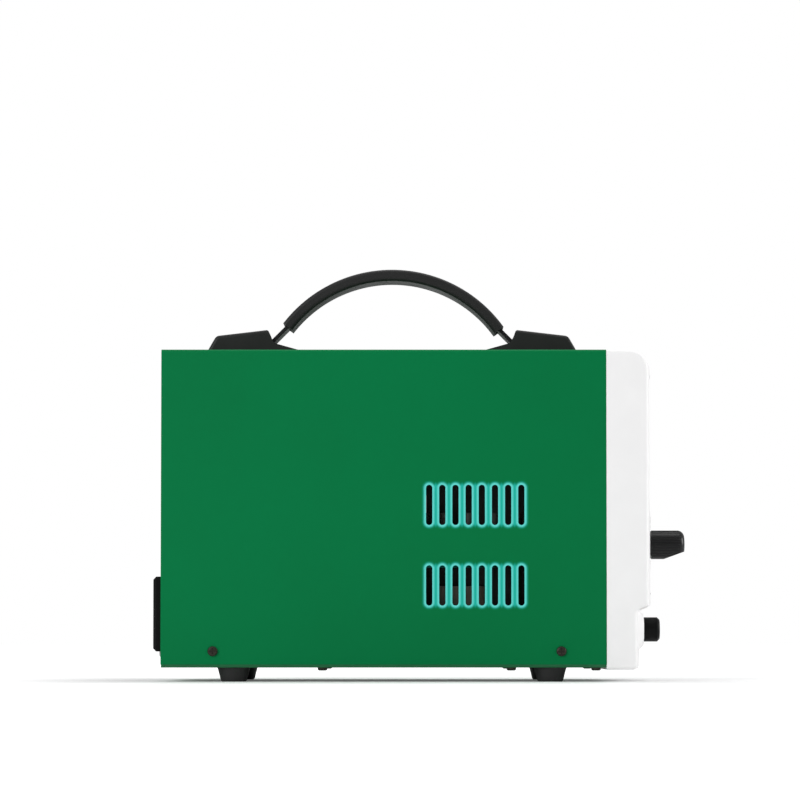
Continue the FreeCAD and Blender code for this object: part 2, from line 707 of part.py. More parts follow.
def make_gas_outlet():
    """Brass shielding-gas outlet that the torch hose screws onto."""
    nozzle_r, tip, hex_thick, bore_r, tail_back = 5.0, 154.0, 3.2, 2.5, 117.0
    hexagon = hex_x(15, boss_face, boss_face + hex_thick, gas_outlet_y, socket_z)
    nozzle = rod(nozzle_r, boss_face + 3, tip, gas_outlet_y, socket_z)
    nozzle = nozzle.makeChamfer(0.8, edges_where(nozzle, lambda p: near(p.x, tip)))
    neck = rod(gas_neck_r - 0.1, fitting_back, boss_face + 0.5, gas_outlet_y, socket_z)
    tail = rod(barb_r, tail_back, fitting_back + 0.5, gas_outlet_y, socket_z)
    threads = thread_grooves(nozzle_r + 0.2, 4.65, 0.55, 148.4, 1.2, 4, gas_outlet_y)
    body = cut(fused([hexagon, nozzle, neck, tail]), threads)
    return body.cut(rod(bore_r, tail_back - 7, tip + 6, gas_outlet_y, socket_z))


def make_trigger_shell():
    """Round metal shell of the torch-switch socket."""
    flange_r, barrel_r, tip = 9.4, 8.0, 151.6
    flange = rod(flange_r, boss_face, boss_face + 1.8, trigger_y, socket_z)
    barrel = rod(barrel_r, boss_face + 1, tip, trigger_y, socket_z)
    barrel = barrel.makeChamfer(0.6, edges_where(barrel, lambda p: near(p.x, tip)))
    neck = rod(trigger_neck_r - 0.1, fitting_back, boss_face + 0.5, trigger_y, socket_z)
    threads = thread_grooves(barrel_r + 0.2, 7.65, 0.5, 147.4, 1.0, 4, trigger_y)
    inside = rod(insert_r + 0.02, fitting_back - 1, tip + 8, trigger_y, socket_z)
    return cut(fused([flange, barrel, neck]), threads + [inside])


def make_trigger_insert():
    """Black insert with two contact holes and a key notch."""
    insert = rod(insert_r, fitting_back + 2, 150.2, trigger_y, socket_z)
    tools = [rod(1.0, 140, 160, trigger_y + s * 2.6, socket_z) for s in (-1, 1)]
    tools.append(box(146, 160, trigger_y - 0.9, trigger_y + 0.9, socket_z + 4.9, socket_z + 8))
    return cut(insert, tools)


# ---------------------------------------------------------------- handle
def handle_screw_places():
    """X of the four screws: each end has one through the strap and one beyond it."""
    return [handle_x + s * u for s in (-1, 1) for u in (strap_screw_u, plate_screw_u)]


def handle_side(points, s):
    """Points given as distance from the handle's middle and height over the case top, for one end."""
    placed = [(handle_x + s * u, case_top + h) for u, h in points]
    return placed if s > 0 else placed[::-1]


def make_handle_cap(s):
    """Wedge-shaped end cap, hollow under its top, with a slot where the strap comes out."""
    brow_u, brow_h, toe_u, toe_h = 115.6, 13.2, 120.8, 4.2
    profile = [(50.6, 0), (50.6, 0.9), (77.5, 8.4), (79.6, 12.1), (81.2, 16.4), (cap_peak_u, 17.1),
               (brow_u, brow_h), (toe_u, toe_h), (toe_u, 0)]
    half = cap_width / 2
    cap = prism_y(handle_side(profile, s), -half, half)
    for u, h, radius in ((brow_u, brow_h, 4.0), (toe_u, toe_h, 3.0)):
        corner = edges_where(cap, lambda p: near(p.x, handle_x + s * u) and near(p.z, case_top + h))
        cap = cap.makeFillet(radius, corner)
    outer = edges_where(cap, lambda p: near(abs(p.y), half) and abs(p.x - handle_x) > cap_peak_u - 0.1)
    rims = [e for e in outer if e.BoundBox.ZMax > case_top + 0.05]
    cap = cap.makeFillet(cap_rim_r, rims)
    hollow = prism_y(handle_side([(83.5, -1), (83.5, 9.0), (112.0, 9.0), (112.0, -1)], s), -12.6, 12.6)
    leg = sum(strap_shoulder())
    corners = ((leg - 2.3, 61.2), (leg + 5.3, 61.2), (leg + 5.3, 89.6), (leg - 2.3, 89.6))
    slot = prism_y(handle_side([((a + b) / 2, (a - b) / 2) for a, b in corners], s), -10.6, 10.6)
    return cut(cap, [hollow, slot])


def strap_shoulder():
    """Where the strap's arch turns into its leg, which falls at 45 degrees, so that u + h stays the same."""
    middle_r = (grip_outer_r + grip_inner_r) / 2
    a = math.radians(strap_arc_half_angle)
    return middle_r * math.sin(a), grip_centre_z + middle_r * math.cos(a) - case_top


def make_handle_anchors():
    """Steel plates under the caps that the strap ends slide on."""
    from_u, to_u, half = 85.5, 111.5, 12.0
    plates = []
    for s in (-1, 1):
        x0, x1 = sorted((handle_x + s * from_u, handle_x + s * to_u))
        plate = box(x0, x1, -half, half, case_top, case_top + anchor_thick)
        holes = [post(handle_hole_r, handle_x + s * u, 0, 200, 230) for u in (strap_screw_u, plate_screw_u)]
        plates.append(cut(plate, holes))
    return plates


def arc_band(r0, r1, y0, y1, from_angle, to_angle):
    """Part of a ring round the handle's centre, its angles measured from straight up towards +X."""
    corners = [V(handle_x, y0, grip_centre_z + r0), V(handle_x, y1, grip_centre_z + r0),
               V(handle_x, y1, grip_centre_z + r1), V(handle_x, y0, grip_centre_z + r1)]
    face = Part.Face(Part.makePolygon(corners + corners[:1]))
    centre = V(handle_x, 0, grip_centre_z)
    face.rotate(centre, Y_AXIS, from_angle)
    return face.revolve(centre, Y_AXIS, to_angle - from_angle)


def make_handle_strap():
    """Spring strap: an arch, two sloping legs and two flat ends with a slot each."""
    half_t, half_w, end_u, slot_half, slot_half_w = strap_thick / 2, strap_width / 2, 101.5, 4.0, 2.7
    middle_r = (grip_outer_r + grip_inner_r) / 2
    a = strap_arc_half_angle
    u0, h0 = strap_shoulder()
    h1 = anchor_thick + half_t
    u1 = u0 + (h0 - h1)
    d = half_t / math.sqrt(2)
    leg = [(u0 - d, h0 - d), (u0 + d, h0 + d), (u1 + d, h1 + d), (u1 - d, h1 - d)]
    pieces = [arc_band(middle_r - half_t, middle_r + half_t, -half_w, half_w, -a, a)]
    slots = []
    for s in (-1, 1):
        pieces += [prism_y(handle_side(leg, s), -half_w, half_w),
                   bar_y(half_t, handle_x + s * u0, case_top + h0, -half_w, half_w),
                   bar_y(half_t, handle_x + s * u1, case_top + h1, -half_w, half_w)]
        x0, x1 = sorted((handle_x + s * u1, handle_x + s * end_u))
        pieces.append(box(x0, x1, -half_w, half_w, case_top + h1 - half_t, case_top + h1 + half_t))
        slot_x = handle_x + s * strap_screw_u
        slots.append(box(slot_x - slot_half, slot_x + slot_half, -slot_half_w, slot_half_w,
                         case_top - 2, case_top + 8))
    return cut(fused(pieces), slots)


def make_handle_grip():
    """Moulded grip round the middle of the strap, with soft edges and a flared mouth at each end."""
    half, passage_half = grip_width / 2, strap_width / 2 + 0.2
    start, end = grip_slip_angle - grip_half_angle, grip_slip_angle + grip_half_angle
    grip = arc_band(grip_inner_r, grip_outer_r, -half, half, start, end)
    long_edges = [e for e in edges_where(grip, lambda p: near(abs(p.y), half)) if e.Length > 20]
    grip = grip.makeFillet(2.4, long_edges)
    middle_r = (grip_outer_r + grip_inner_r) / 2
    clear, over, flare = strap_thick / 2 + 0.15, 4.0, 3.4
    passage = arc_band(middle_r - clear, middle_r + clear, -passage_half, passage_half,
                       start - over, end + over)
    mouths = [arc_band(middle_r - clear - 0.9, middle_r + clear + 1.3, -passage_half, passage_half,
                       angle - flare, angle + flare) for angle in (start, end)]
    return cut(grip, [passage] + mouths)


def make_handle_screws():
    """At each end, one screw over the strap's slot and one straight on the anchor plate."""
    over_strap = screw(4.4, 2.6, 2.4, 14)
    on_plate = screw(4.0, 2.6, 2.4, 11.5)
    plate_top = case_top + anchor_thick
    strap_top = plate_top + strap_thick
    found = []
    for s in (-1, 1):
        found.append(turned(over_strap, handle_x + s * strap_screw_u, 0, strap_top + 0.1, Z_AXIS))
        found.append(turned(on_plate, handle_x + s * plate_screw_u, 0, plate_top, Z_AXIS))
    return found


# ---------------------------------------------------------------- back: switch, inlet, gas, earth, fan
def make_switch_frame():
    """Housing of the power switch: a raised guard outside the back panel and a body inside it."""
    half_w, half_h, body_half_w, body_half_h = 19.0, 24.1, 13.0, 18.0
    plate = box(rear_reach, panel_out, switch_y - half_w, switch_y + half_w,
                switch_z - half_h, switch_z + half_h)
    plate = plate.makeChamfer(2.0, edges_where(plate, lambda p: near(p.x, rear_reach)))
    upright = edges_where(
        plate, lambda p: near(abs(p.y - switch_y), half_w) and near(abs(p.z - switch_z), half_h))
    plate = plate.makeFillet(1.2, upright)
    body = box(panel_out - 0.5, rear_body_x, switch_y - body_half_w, switch_y + body_half_w,
               switch_z - body_half_h, switch_z + body_half_h)
    cavity_half_w, cavity_half_h = rocker_half_w + 0.4, rocker_half_h + 0.9
    cavity = box(rear_reach - 1, rear_body_x - 4, switch_y - cavity_half_w, switch_y + cavity_half_w,
                 switch_z - cavity_half_h, switch_z + cavity_half_h)
    pins = bar_y(rocker_pin_r + 0.05, rocker_pivot_x, switch_z, switch_y - 12.5, switch_y + 12.5)
    return cut(fused([plate, body]), [cavity, pins])


def make_power_rocker():
    """Rocker with a shallow V face, tipped to one side on its two pivot pins."""
    h, w = rocker_half_h, rocker_half_w
    edge_x, valley_x, shoulder_x, back_x = -168.3, -166.0, -161.5, -158.5
    shoulder_h, back_h = h - 0.6, 5.0
    face = [(edge_x, h), (valley_x, 0), (edge_x, -h), (shoulder_x, -shoulder_h), (back_x, -back_h),
            (back_x, back_h), (shoulder_x, shoulder_h)]
    rocker = prism_y([(x, switch_z + z) for x, z in face], switch_y - w, switch_y + w)
    rims = edges_where(rocker, lambda p: near(abs(p.y - switch_y), w) and p.x < valley_x + 0.1)
    rocker = rocker.makeFillet(0.7, rims)
    pins = bar_y(rocker_pin_r, rocker_pivot_x, switch_z, switch_y - 12.3, switch_y + 12.3)
    rocker = fused([rocker, pins])
    rocker.rotate(V(rocker_pivot_x, switch_y, switch_z), Y_AXIS, rocker_tilt)
    return rocker


def inlet_box(x0, x1, half_w, half_h, corner):
    """A block round the middle of the power inlet with four rounded corners."""
    block = box(x0, x1, inlet_y - half_w, inlet_y + half_w, inlet_z - half_h, inlet_z + half_h)
    return block.makeFillet(corner, edges_where(
        block, lambda p: near(abs(p.y - inlet_y), half_w) and near(abs(p.z - inlet_z), half_h)))


def inlet_blades(x0, x1):
    """Three flat blades, or the slots that they sit in."""
    half_w, half_t = 4.0, 1.0
    places = [(inlet_y + y, inlet_z + z) for y, z in inlet_blade_places]
    return [box(x0, x1, y - half_w, y + half_w, z - half_t, z + half_t) for y, z in places]


def make_inlet_body():
    """Recessed three-pole power inlet with a flange for two screws."""
    flange = inlet_box(panel_out - inlet_flange, panel_out, 25.0, 15.0, 4.0)
    rim = edges_where(flange, lambda p: near(p.x, panel_out - inlet_flange))
    flange = flange.makeFillet(0.6, rim)
    body = box(panel_out - 1, rear_body_x, inlet_y - 16.5, inlet_y + 16.5, inlet_z - 12, inlet_z + 12)
    tools = [inlet_box(panel_out - 5, rear_body_x - 3, 15.0, 10.5, 3.0)]
    tools += [rod(inlet_hole_r, panel_out - 5, panel_out + 1, inlet_y + s * inlet_screw_y, inlet_z)
              for s in (-1, 1)]
    return cut(fused([flange, body]), tools + inlet_blades(rear_body_x - 4, rear_body_x + 6))


def make_mains_terminals():
    """Blades of the power inlet, and the tabs of the power switch."""
    half_w, half_t = 3.1, 0.4
    tabs = [box(rear_body_x, tab_end, switch_y + y - half_w, switch_y + y + half_w,
                switch_z + z - half_t, switch_z + z + half_t)
            for y in (-tab_y, tab_y) for z in (-tab_z, tab_z)]
    return inlet_blades(-162, blade_end) + tabs


def make_gas_inlet():
    """Brass bulkhead that the gas bottle's hose screws into."""
    y, z = gas_inlet_y, gas_inlet_z
    face_r, thread_r, bore_r, thread_end, shank_end, tail_end = 6.9, 4.25, 2.0, -160.0, -154.0, -146.0
    face_x = rear_reach + 0.3
    hexagon = hex_x(16, panel_out - 4.0, panel_out, y, z)
    face = rod(face_r, face_x, panel_out - 3.5, y, z)
    face = face.makeChamfer(0.6, edges_where(face, lambda p: near(p.x, face_x)))
    shank = rod(gas_shank_r, panel_out - 0.5, shank_end, y, z)
    tail = rod(barb_r, shank_end - 1, tail_end, y, z)
    body = fused([hexagon, face, shank, tail])
    body = cut(body, [rod(thread_r, face_x - 1.3, thread_end, y, z),
                      rod(bore_r, thread_end - 1, tail_end + 6, y, z)])
    nut = ring_nut(16, gas_shank_r + 0.05, panel_in, panel_in + 4, y, z)
    return [body, nut]


def make_earth_stud():
    """Earth bolt with a washer and a nut outside and a nut inside."""
    stud_r, washer_r, wide, washer_face, tip_x = 3.0, 6.2, 9.6, panel_out - 1.0, rear_reach + 0.2
    nut_face = washer_face - 2.4
    tip = rod(earth_tip_r, tip_x, nut_face, earth_y, earth_z)
    tip = tip.makeChamfer(0.5, edges_where(tip, lambda p: near(p.x, tip_x)))
    stud = fused([tip, rod(stud_r, nut_face, -154, earth_y, earth_z)])
    washer = rod(washer_r, washer_face, panel_out, earth_y, earth_z)
    washer = washer.cut(rod(stud_r + 0.05, washer_face - 1, panel_out + 1, earth_y, earth_z))
    nut = ring_nut(wide, stud_r + 0.02, nut_face, washer_face, earth_y, earth_z)
    inner_nut = ring_nut(wide, stud_r + 0.02, -162.0, -157.5, earth_y, earth_z)
    return [stud, washer, nut, inner_nut]


def make_fan_frame():
    """Square fan frame with four struts that carry the motor bush."""
    half, inner, strut_half, strut_x = fan_size / 2, fan_size / 2 - 0.5, 1.8, fan_front - 3
    throat_r, base_r, bush_r, bore_r = 44.3, 17.5, 3.9, fan_shaft_r + 0.05
    frame = box(fan_rear, fan_front, -half, half, fan_z - half, fan_z + half)
    frame = frame.makeFillet(4, edges_where(
        frame, lambda p: near(abs(p.y), half) and near(abs(p.z - fan_z), half)))
    frame = frame.cut(rod(throat_r, fan_rear - 1, fan_front + 1, 0, fan_z))
    strut = box(strut_x, fan_front, -inner, inner, fan_z - strut_half, fan_z + strut_half)
    upright = box(strut_x, fan_front, -strut_half, strut_half, fan_z - inner, fan_z + inner)
    base = rod(base_r, strut_x, fan_front, 0, fan_z)
    bush = rod(bush_r, fan_front - 15, strut_x + 0.5, 0, fan_z)
    frame = fused([frame, strut, upright, base, bush])
    tools = [rod(fan_hole_r, fan_rear - 1, fan_front + 1, y, z) for y, z in fan_corners()]
    tools.append(rod(bore_r, fan_rear, fan_front - 1, 0, fan_z))
    return cut(frame, tools)


def make_fan_stator():
    """Motor winding pack round the fan's bush."""
    pack_r, bore_r, notch_half, notch_count = 14.0, 4.0, 1.2, 4
    pack = rod(pack_r, fan_front - 13, fan_front - 5.5, 0, fan_z)
    tools = [rod(bore_r, fan_front - 30, fan_front, 0, fan_z)]
    for i in range(notch_count):
        notch = box(fan_front - 20, fan_front, -notch_half, notch_half, fan_z + 9, fan_z + 16)
        notch.rotate(V(0, 0, fan_z), X_AXIS, 360 / notch_count * (i + 0.5))
        tools.append(notch)
    return cut(pack, tools)


def make_fan_blade(middle_x):
    """One curved blade standing up from the hub, its sheet bent round a line along the blade."""
    bend_r, thick, half_chord, pitch = 26.0, 1.4, 10.0, 50.0
    root_r, tip_r = 17.6, 42.8
    half_angle = math.degrees(math.asin(half_chord / bend_r))
    section = [V(bend_r, 0, root_r), V(bend_r + thick, 0, root_r),
               V(bend_r + thick, 0, tip_r), V(bend_r, 0, tip_r)]
    face = Part.Face(Part.makePolygon(section + section[:1]))
    face.rotate(V(0, 0, 0), Z_AXIS, -half_angle)
    blade = face.revolve(V(0, 0, 0), Z_AXIS, 2 * half_angle)
    blade.translate(V(-bend_r - thick / 2, 0, 0))
    blade.rotate(V(0, 0, 0), Z_AXIS, pitch)
    blade.translate(V(middle_x, 0, fan_z))
    return blade


def make_fan_rotor():
    """Hub cup, shaft and the pitched blades."""
    back, front = fan_rear + 2.0, fan_front - 4.0
    hub_r, hub_wall = 18.5, 1.9
    hub = rod(hub_r, back, front, 0, fan_z)
    hub = hub.makeFillet(1.5, edges_where(hub, lambda p: near(p.x, back)))
    hub = hub.cut(rod(hub_r - hub_wall, back + hub_wall, front + 1, 0, fan_z))
    swept = rod(fan_tip_r, back - 0.5, front + 0.5, 0, fan_z)
    swept = swept.cut(rod(hub_r - 0.5, back - 1, front + 1, 0, fan_z))
    blades = []
    for i in range(fan_blades):
        blade = make_fan_blade((back + front) / 2)
        blade.rotate(V(0, 0, fan_z), X_AXIS, 360.0 / fan_blades * i)
        blades.append(blade.common(swept))
    shaft = rod(fan_shaft_r, back + 1.0, fan_front - 2.2, 0, fan_z)
    return hub.multiFuse(blades + [shaft])


def make_fan_screws():
    one = screw(3.4, 2.0, 2.0, 24)
    return [turned(one, panel_out, y, z, V(-1, 0, 0)) for y, z in fan_corners()]


# ---------------------------------------------------------------- insides
def make_main_board():
    """Power board and the four pillars that hold it over the chassis."""
    board = box(-128, 100, -56, 56, board_z, board_top)
    pillars = [post(3.5, x, y, floor_z, board_z) for x, y in board_pillars]
    return [board] + pillars


def make_heatsinks():
    """Two finned extrusions under the board, and one across the case for the output rectifier."""
    x0, x1, base_low, fin_pitch, fin_thick, fin_count = -98, -12, 86, 3.6, 1.6, 10
    found = []
    for y0 in (-40.0, 6.0):
        fins = [box(x0, x1, y0 + fin_pitch * i, y0 + fin_pitch * i + fin_thick, fins_low, base_low + 1)
                for i in range(fin_count)]
        found.append(fused([box(x0, x1, y0, y0 + 34, base_low, heatsink_top)] + fins))
    x0, x1, half, pitch, count = 55.5, 68.5, 38.0, 4.6, 17
    fins = [box(x0 + 0.5, x1, -half + pitch * i, -half + pitch * i + fin_thick, fins_low, heatsink_top)
            for i in range(count)]
    found.append(fused([box(x0, x0 + 3.5, -half, half, fins_low, heatsink_top)] + fins))
    return found


def make_power_transistors():
    """Eight flat power transistors clamped between the heatsinks and the board."""
    length, half_w, from_middle = 15.5, 10.0, 23.0
    return [box(x, x + length, s * from_middle - half_w, s * from_middle + half_w, heatsink_top, board_z)
            for x in (-95, -74, -53, -32) for s in (-1, 1)]


def make_power_capacitors():
    """Three smoothing capacitors standing on the board."""
    can_r, can_top = 17.5, board_top + 52
    found = []
    for x in (-104, -64, -24):
        can = post(can_r, x, 0, board_top, can_top)
        found.append(can.makeFillet(1.5, edges_where(can, lambda p: near(p.z, can_top))))
    return found


def make_transformer_core():
    """Ferrite core with two windows, standing on the chassis."""
    half, window_low, window_high = 16.0, 22.0, 62.0
    core = box(-2, 54, -half, half, floor_z, 74)
    return cut(core, [box(x0, x1, -half - 1, half + 1, window_low, window_high)
                      for x0, x1 in ((8, 19), (33, 44))])


def make_transformer_winding():
    """Windings and tape round the middle leg of the core."""
    half = 27.0
    outer = box(8.3, 43.7, -half, half, 22.4, 61.6)
    outer = outer.makeFillet(6, edges_where(outer, lambda p: near(abs(p.y), half) and abs(p.x - 26) > 17))
    leg = box(18.9, 33.1, -16.1, 16.1, 20, 70)
    return outer.cut(leg)


def make_output_inductor():
    """Ring core with turns of thick wire round it."""
    ring_r, core_r, turn_r, wire_r, turn_count = 18, 6.6, 8.4, 1.4, 18
    centre = V(*inductor_centre)
    turns = []
    for i in range(turn_count):
        turn = Part.makeTorus(turn_r, wire_r, centre + V(0, ring_r, 0), Z_AXIS)
        turn.rotate(centre, X_AXIS, 360.0 / turn_count * i)
        turns.append(turn)
    return [Part.makeTorus(ring_r, core_r, centre, X_AXIS)] + turns


def make_ignition_unit():
    """Potted high-frequency arc starter on the board, with its coil on top and two terminals."""
    case_high, coil_r = board_top + 32, 9.0
    case = box(4, 68, -24, 24, board_top, case_high)
    case = case.makeFillet(1.5, edges_where(case, lambda p: near(p.z, case_high)))
    coil = bar_y(coil_r, 36, case_high + coil_r + 0.2, -20, 20)
    terminals = [post(3, 58, s * 14, case_high, case_high + 6) for s in (-1, 1)]
    return [case, coil] + terminals


def make_solenoid_valve():
    """Gas valve: brass block with its coil on top."""
    y, z = valve_y, valve_z
    bore_r, block_half, coil_half, block_top = 2.0, 10.0, 9.0, valve_z + 8
    block = box(-133, -109, y - block_half, y + block_half, z - block_half, block_top)
    ports = [rod(barb_r, -137, -132.5, y, z), rod(barb_r, -109.5, -103, y, z)]
    coil = box(-130, -112, y - coil_half, y + coil_half, block_top, block_top + 14)
    return [fused([block] + ports).cut(rod(bore_r, -140, -100, y, z)), coil]


def make_gas_hoses():
    """Hoses from the gas inlet to the valve, and from the valve to the gas outlet."""
    rear_path = [(-152.5, gas_inlet_y, gas_inlet_z), (-146.5, gas_inlet_y, gas_inlet_z),
                 (-140.0, valve_y, valve_z), (-133.3, valve_y, valve_z)]
    rear = tube_along(rear_path, (7.0, 7.0), hose_r)
    front_path = [(-108.7, valve_y, valve_z), (-92, valve_y, valve_z), (-70, 54, 66), (60, 55, 60),
                  (92, 55, 48), (101, 32, 38), (106, gas_outlet_y, socket_z), (122, gas_outlet_y, socket_z)]
    front = tube_along(front_path, (30, 60, 60, 20, 30, 9), hose_r)
    wrapped_r = barb_r + 0.05
    barbs = [rod(wrapped_r, -160, -145.9, gas_inlet_y, gas_inlet_z),
             rod(wrapped_r, -137.1, -130, valve_y, valve_z),
             rod(wrapped_r, -110, -102.9, valve_y, valve_z),
             rod(wrapped_r, 116.9, 130, gas_outlet_y, socket_z)]
    return [cut(hose, barbs) for hose in (rear, front)]


def make_busbar(y):
    """Copper bar that rises from a socket's tail stud and folds back onto the board."""
    thick = 1.6
    y0, y1 = y - busbar_half_width, y + busbar_half_width
    plate = box(busbar_x, busbar_x + thick + 0.1, y0, y1, 28.5, board_top + thick)
    fold = box(88, busbar_x + 0.1, y0, y1, board_top, board_top + thick)
    return fused([plate, fold]).cut(rod(tail_stud_r + 0.1, busbar_x - 6, busbar_x + 4, y, socket_z))


def make_internal_leads():
    """Busbars to the two sockets, and the mains leads from inlet to switch and from switch to board."""
    found = [make_busbar(s * weld_socket_y) for s in (-1, 1)]
    blade_y, blade_z = inlet_blade_places[1]
    blade_x, tab_x, blade_z = blade_end + 0.1, tab_end + 0.1, inlet_z + blade_z
    low_tab, high_tab, board_x = switch_z - tab_z, switch_z + tab_z, -118.0
    for s, x, low in ((-1, -130.0, 24.0), (1, -123.0, 16.0)):
        y_from, y_to = inlet_y + s * blade_y, switch_y - s * tab_y
        route = [(blade_x, y_from, blade_z), (x, y_from, blade_z), (x, y_from, low),
                 (x, y_to, low), (x, y_to, low_tab), (tab_x, y_to, low_tab)]
        found.append(tube_along(route, (4.0, 4.0, 4.0, 4.0), lead_r))
    for y in (switch_y + tab_y, switch_y - tab_y):
        route = [(tab_x, y, high_tab), (board_x, y, high_tab), (board_x, y, board_z)]
        found.append(tube_along(route, (10.0,), lead_r))
    return found


# ---------------------------------------------------------------- writing the parts
def parts():
    """Every node's name and its shape or its list of separate solids."""
    found = {
        "cover": make_cover(),
        "chassis_pan": make_chassis_pan(),
        "rear_panel": make_rear_panel(),
        "front_plate": make_front_plate(),
        "foot_screws": make_foot_screws(),
        "cover_screws": make_cover_screws(),
        "case_screws": make_case_screws(),
        "front_bezel": make_front_bezel(),
        "bezel_screws": make_bezel_screws(),
        "control_fascia": make_control_fascia(),
        "display_window": make_display_window(),
        "indicator_lenses": make_indicator_lenses(),
        "control_board": make_control_board(),
        "encoder_body": make_encoder_body(),
        "encoder_plunger": make_encoder_plunger(),
        "encoder_shaft": make_encoder_shaft(),
        "control_knob": make_control_knob(),
        "socket_plate": make_socket_plate(),
        "socket_nuts": make_socket_nuts(),
        "gas_outlet": make_gas_outlet(),
        "trigger_socket_shell": make_trigger_shell(),
        "trigger_socket_insert": make_trigger_insert(),
        "handle_cap_rear": make_handle_cap(-1),
        "handle_cap_front": make_handle_cap(1),
        "handle_anchors": make_handle_anchors(),
        "handle_strap": make_handle_strap(),
        "handle_grip": make_handle_grip(),
        "handle_screws": make_handle_screws(),
        "switch_frame": make_switch_frame(),
        "power_rocker": make_power_rocker(),
        "inlet_body": make_inlet_body(),
        "mains_terminals": make_mains_terminals(),
        "gas_inlet": make_gas_inlet(),
        "earth_stud": make_earth_stud(),
        "fan_frame": make_fan_frame(),
        "fan_stator": make_fan_stator(),
        "fan_rotor": make_fan_rotor(),
        "fan_screws": make_fan_screws(),
        "main_board": make_main_board(),
        "heatsinks": make_heatsinks(),
        "power_transistors": make_power_transistors(),
        "power_capacitors": make_power_capacitors(),
        "transformer_core": make_transformer_core(),
        "transformer_winding": make_transformer_winding(),
        "output_inductor": make_output_inductor(),
        "ignition_unit": make_ignition_unit(),
        "solenoid_valve": make_solenoid_valve(),
        "gas_hoses": make_gas_hoses(),
        "internal_leads": make_internal_leads(),
    }
    for name, (x, y) in foot_places().items():
        found[name] = make_foot(x, y)
    for name, y in zip(("mode_button", "cycle_button", "gas_test_button"), button_y):
        found[name] = make_button(y)
    for name, s in (("negative", -1), ("positive", 1)):
        found["socket_collar_" + name] = make_socket_collar(s * weld_socket_y)
        found["socket_contact_" + name] = make_socket_contact(s * weld_socket_y)
    return found


def main():
    os.makedirs("parts", exist_ok=True)
    for name, made in parts().items():
        solids = []
        for shape in made if isinstance(made, list) else [made]:
            solids += shape.Solids
        bad = [i for i, solid in enumerate(solids) if not solid.isValid() or solid.Volume <= 0]
        if bad or not solids:
            print("PROBLEM", name, "solids", len(solids), "bad", bad)
        whole = solids[0] if len(solids) == 1 else Part.makeCompound(solids)
        whole.exportStep(f"parts/{name}.step")
        print(name, len(solids), "solid(s)", round(sum(s.Volume for s in solids)), "mm3")


main()
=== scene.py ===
# %% [markdown]
# # A portable TIG welder
# The machine is a folded steel case with a moulded plastic front, a strap handle, rubber feet, and a
# back panel with a fan. Its solid shapes come ready measured as the frame. Blender's work is what the
# frame can't say: what each surface is made of, the small fittings on the front and inside, and the light.

# %% Load the frame
import bmesh
import bpy
import math
from mathutils import Matrix, Vector


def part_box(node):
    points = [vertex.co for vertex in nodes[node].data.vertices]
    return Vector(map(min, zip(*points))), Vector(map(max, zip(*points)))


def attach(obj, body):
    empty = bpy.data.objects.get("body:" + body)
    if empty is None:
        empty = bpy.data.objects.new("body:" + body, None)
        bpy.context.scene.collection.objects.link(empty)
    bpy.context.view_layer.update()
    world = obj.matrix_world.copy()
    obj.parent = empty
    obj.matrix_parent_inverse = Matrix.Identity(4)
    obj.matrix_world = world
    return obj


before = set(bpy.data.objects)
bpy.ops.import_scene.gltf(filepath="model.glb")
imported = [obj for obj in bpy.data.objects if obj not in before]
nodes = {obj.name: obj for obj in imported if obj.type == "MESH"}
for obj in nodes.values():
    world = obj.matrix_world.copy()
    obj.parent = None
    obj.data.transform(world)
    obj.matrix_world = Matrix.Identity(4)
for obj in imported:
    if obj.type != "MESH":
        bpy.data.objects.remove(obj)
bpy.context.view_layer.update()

# %% [markdown]
# ## Sizes that later steps share
# A piece goes where the frame says, so places are read from the frame's own boxes. One millimetre is
# named here because the frame is in metres and most details of this machine are a few millimetres.

# %% Shared sizes
mm = 0.001


def low(node):
    """The lowest corner of a frame node."""
    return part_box(node)[0]


def high(node):
    """The highest corner of a frame node."""
    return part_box(node)[1]


def middle(node):
    """The middle of a frame node's box."""
    return (low(node) + high(node)) / 2


case_side = high("cover").y
case_top = high("cover").z
print("case is", round(2 * case_side / mm, 1), "mm wide and", round(case_top / mm, 1), "mm high")

# %% [markdown]
# ## Wiring shader nodes
# Every finish below is a small network of shader nodes. It could be clicked together in the editor. In a
# script, two short helpers are enough: one adds a node and sets its values, the other makes the maths
# nodes that most patterns need.

# %% Node helpers
def add(tree, kind, **values):
    """Adds a node, sets its own properties, and fills or links its numbered or named inputs."""
    node = tree.nodes.new(kind)
    inputs = values.pop("inputs", {})
    for name, value in values.items():
        setattr(node, name, value)
    for key, value in inputs.items():
        if isinstance(value, bpy.types.NodeSocket):
            tree.links.new(value, node.inputs[key])
        else:
            node.inputs[key].default_value = value
    return node


def maths(tree, operation, *terms, clamp=False):
    """A maths node's result, from numbers or other nodes' outputs."""
    node = add(tree, "ShaderNodeMath", operation=operation, use_clamp=clamp,
               inputs=dict(enumerate(terms)))
    return node.outputs[0]


def spread(tree, value, from_low, from_high, to_low, to_high):
    """A value moved smoothly from one range to another."""
    node = add(tree, "ShaderNodeMapRange", interpolation_type="SMOOTHSTEP", inputs={
        "Value": value, "From Min": from_low, "From Max": from_high, "To Min": to_low, "To Max": to_high})
    return node.outputs["Result"]


mix_first, mix_second, mix_result = 6, 7, 2


def blend_colours(tree, share, first, second):
    """Two colours mixed by a share from 0 to 1, through the Mix node's sockets for colours."""
    node = add(tree, "ShaderNodeMix", data_type="RGBA",
               inputs={0: share, mix_first: first, mix_second: second})
    return node.outputs[mix_result]


def place_of(tree):
    """The place of each point on its own piece, in metres."""
    return tree.nodes.new("ShaderNodeTexCoord").outputs["Object"]


def noise(tree, place, scale, detail, roughness):
    """Seeded by place alone, so it is the same on every run."""
    node = add(tree, "ShaderNodeTexNoise", inputs={
        "Vector": place, "Scale": scale, "Detail": detail, "Roughness": roughness})
    return node.outputs["Fac"]


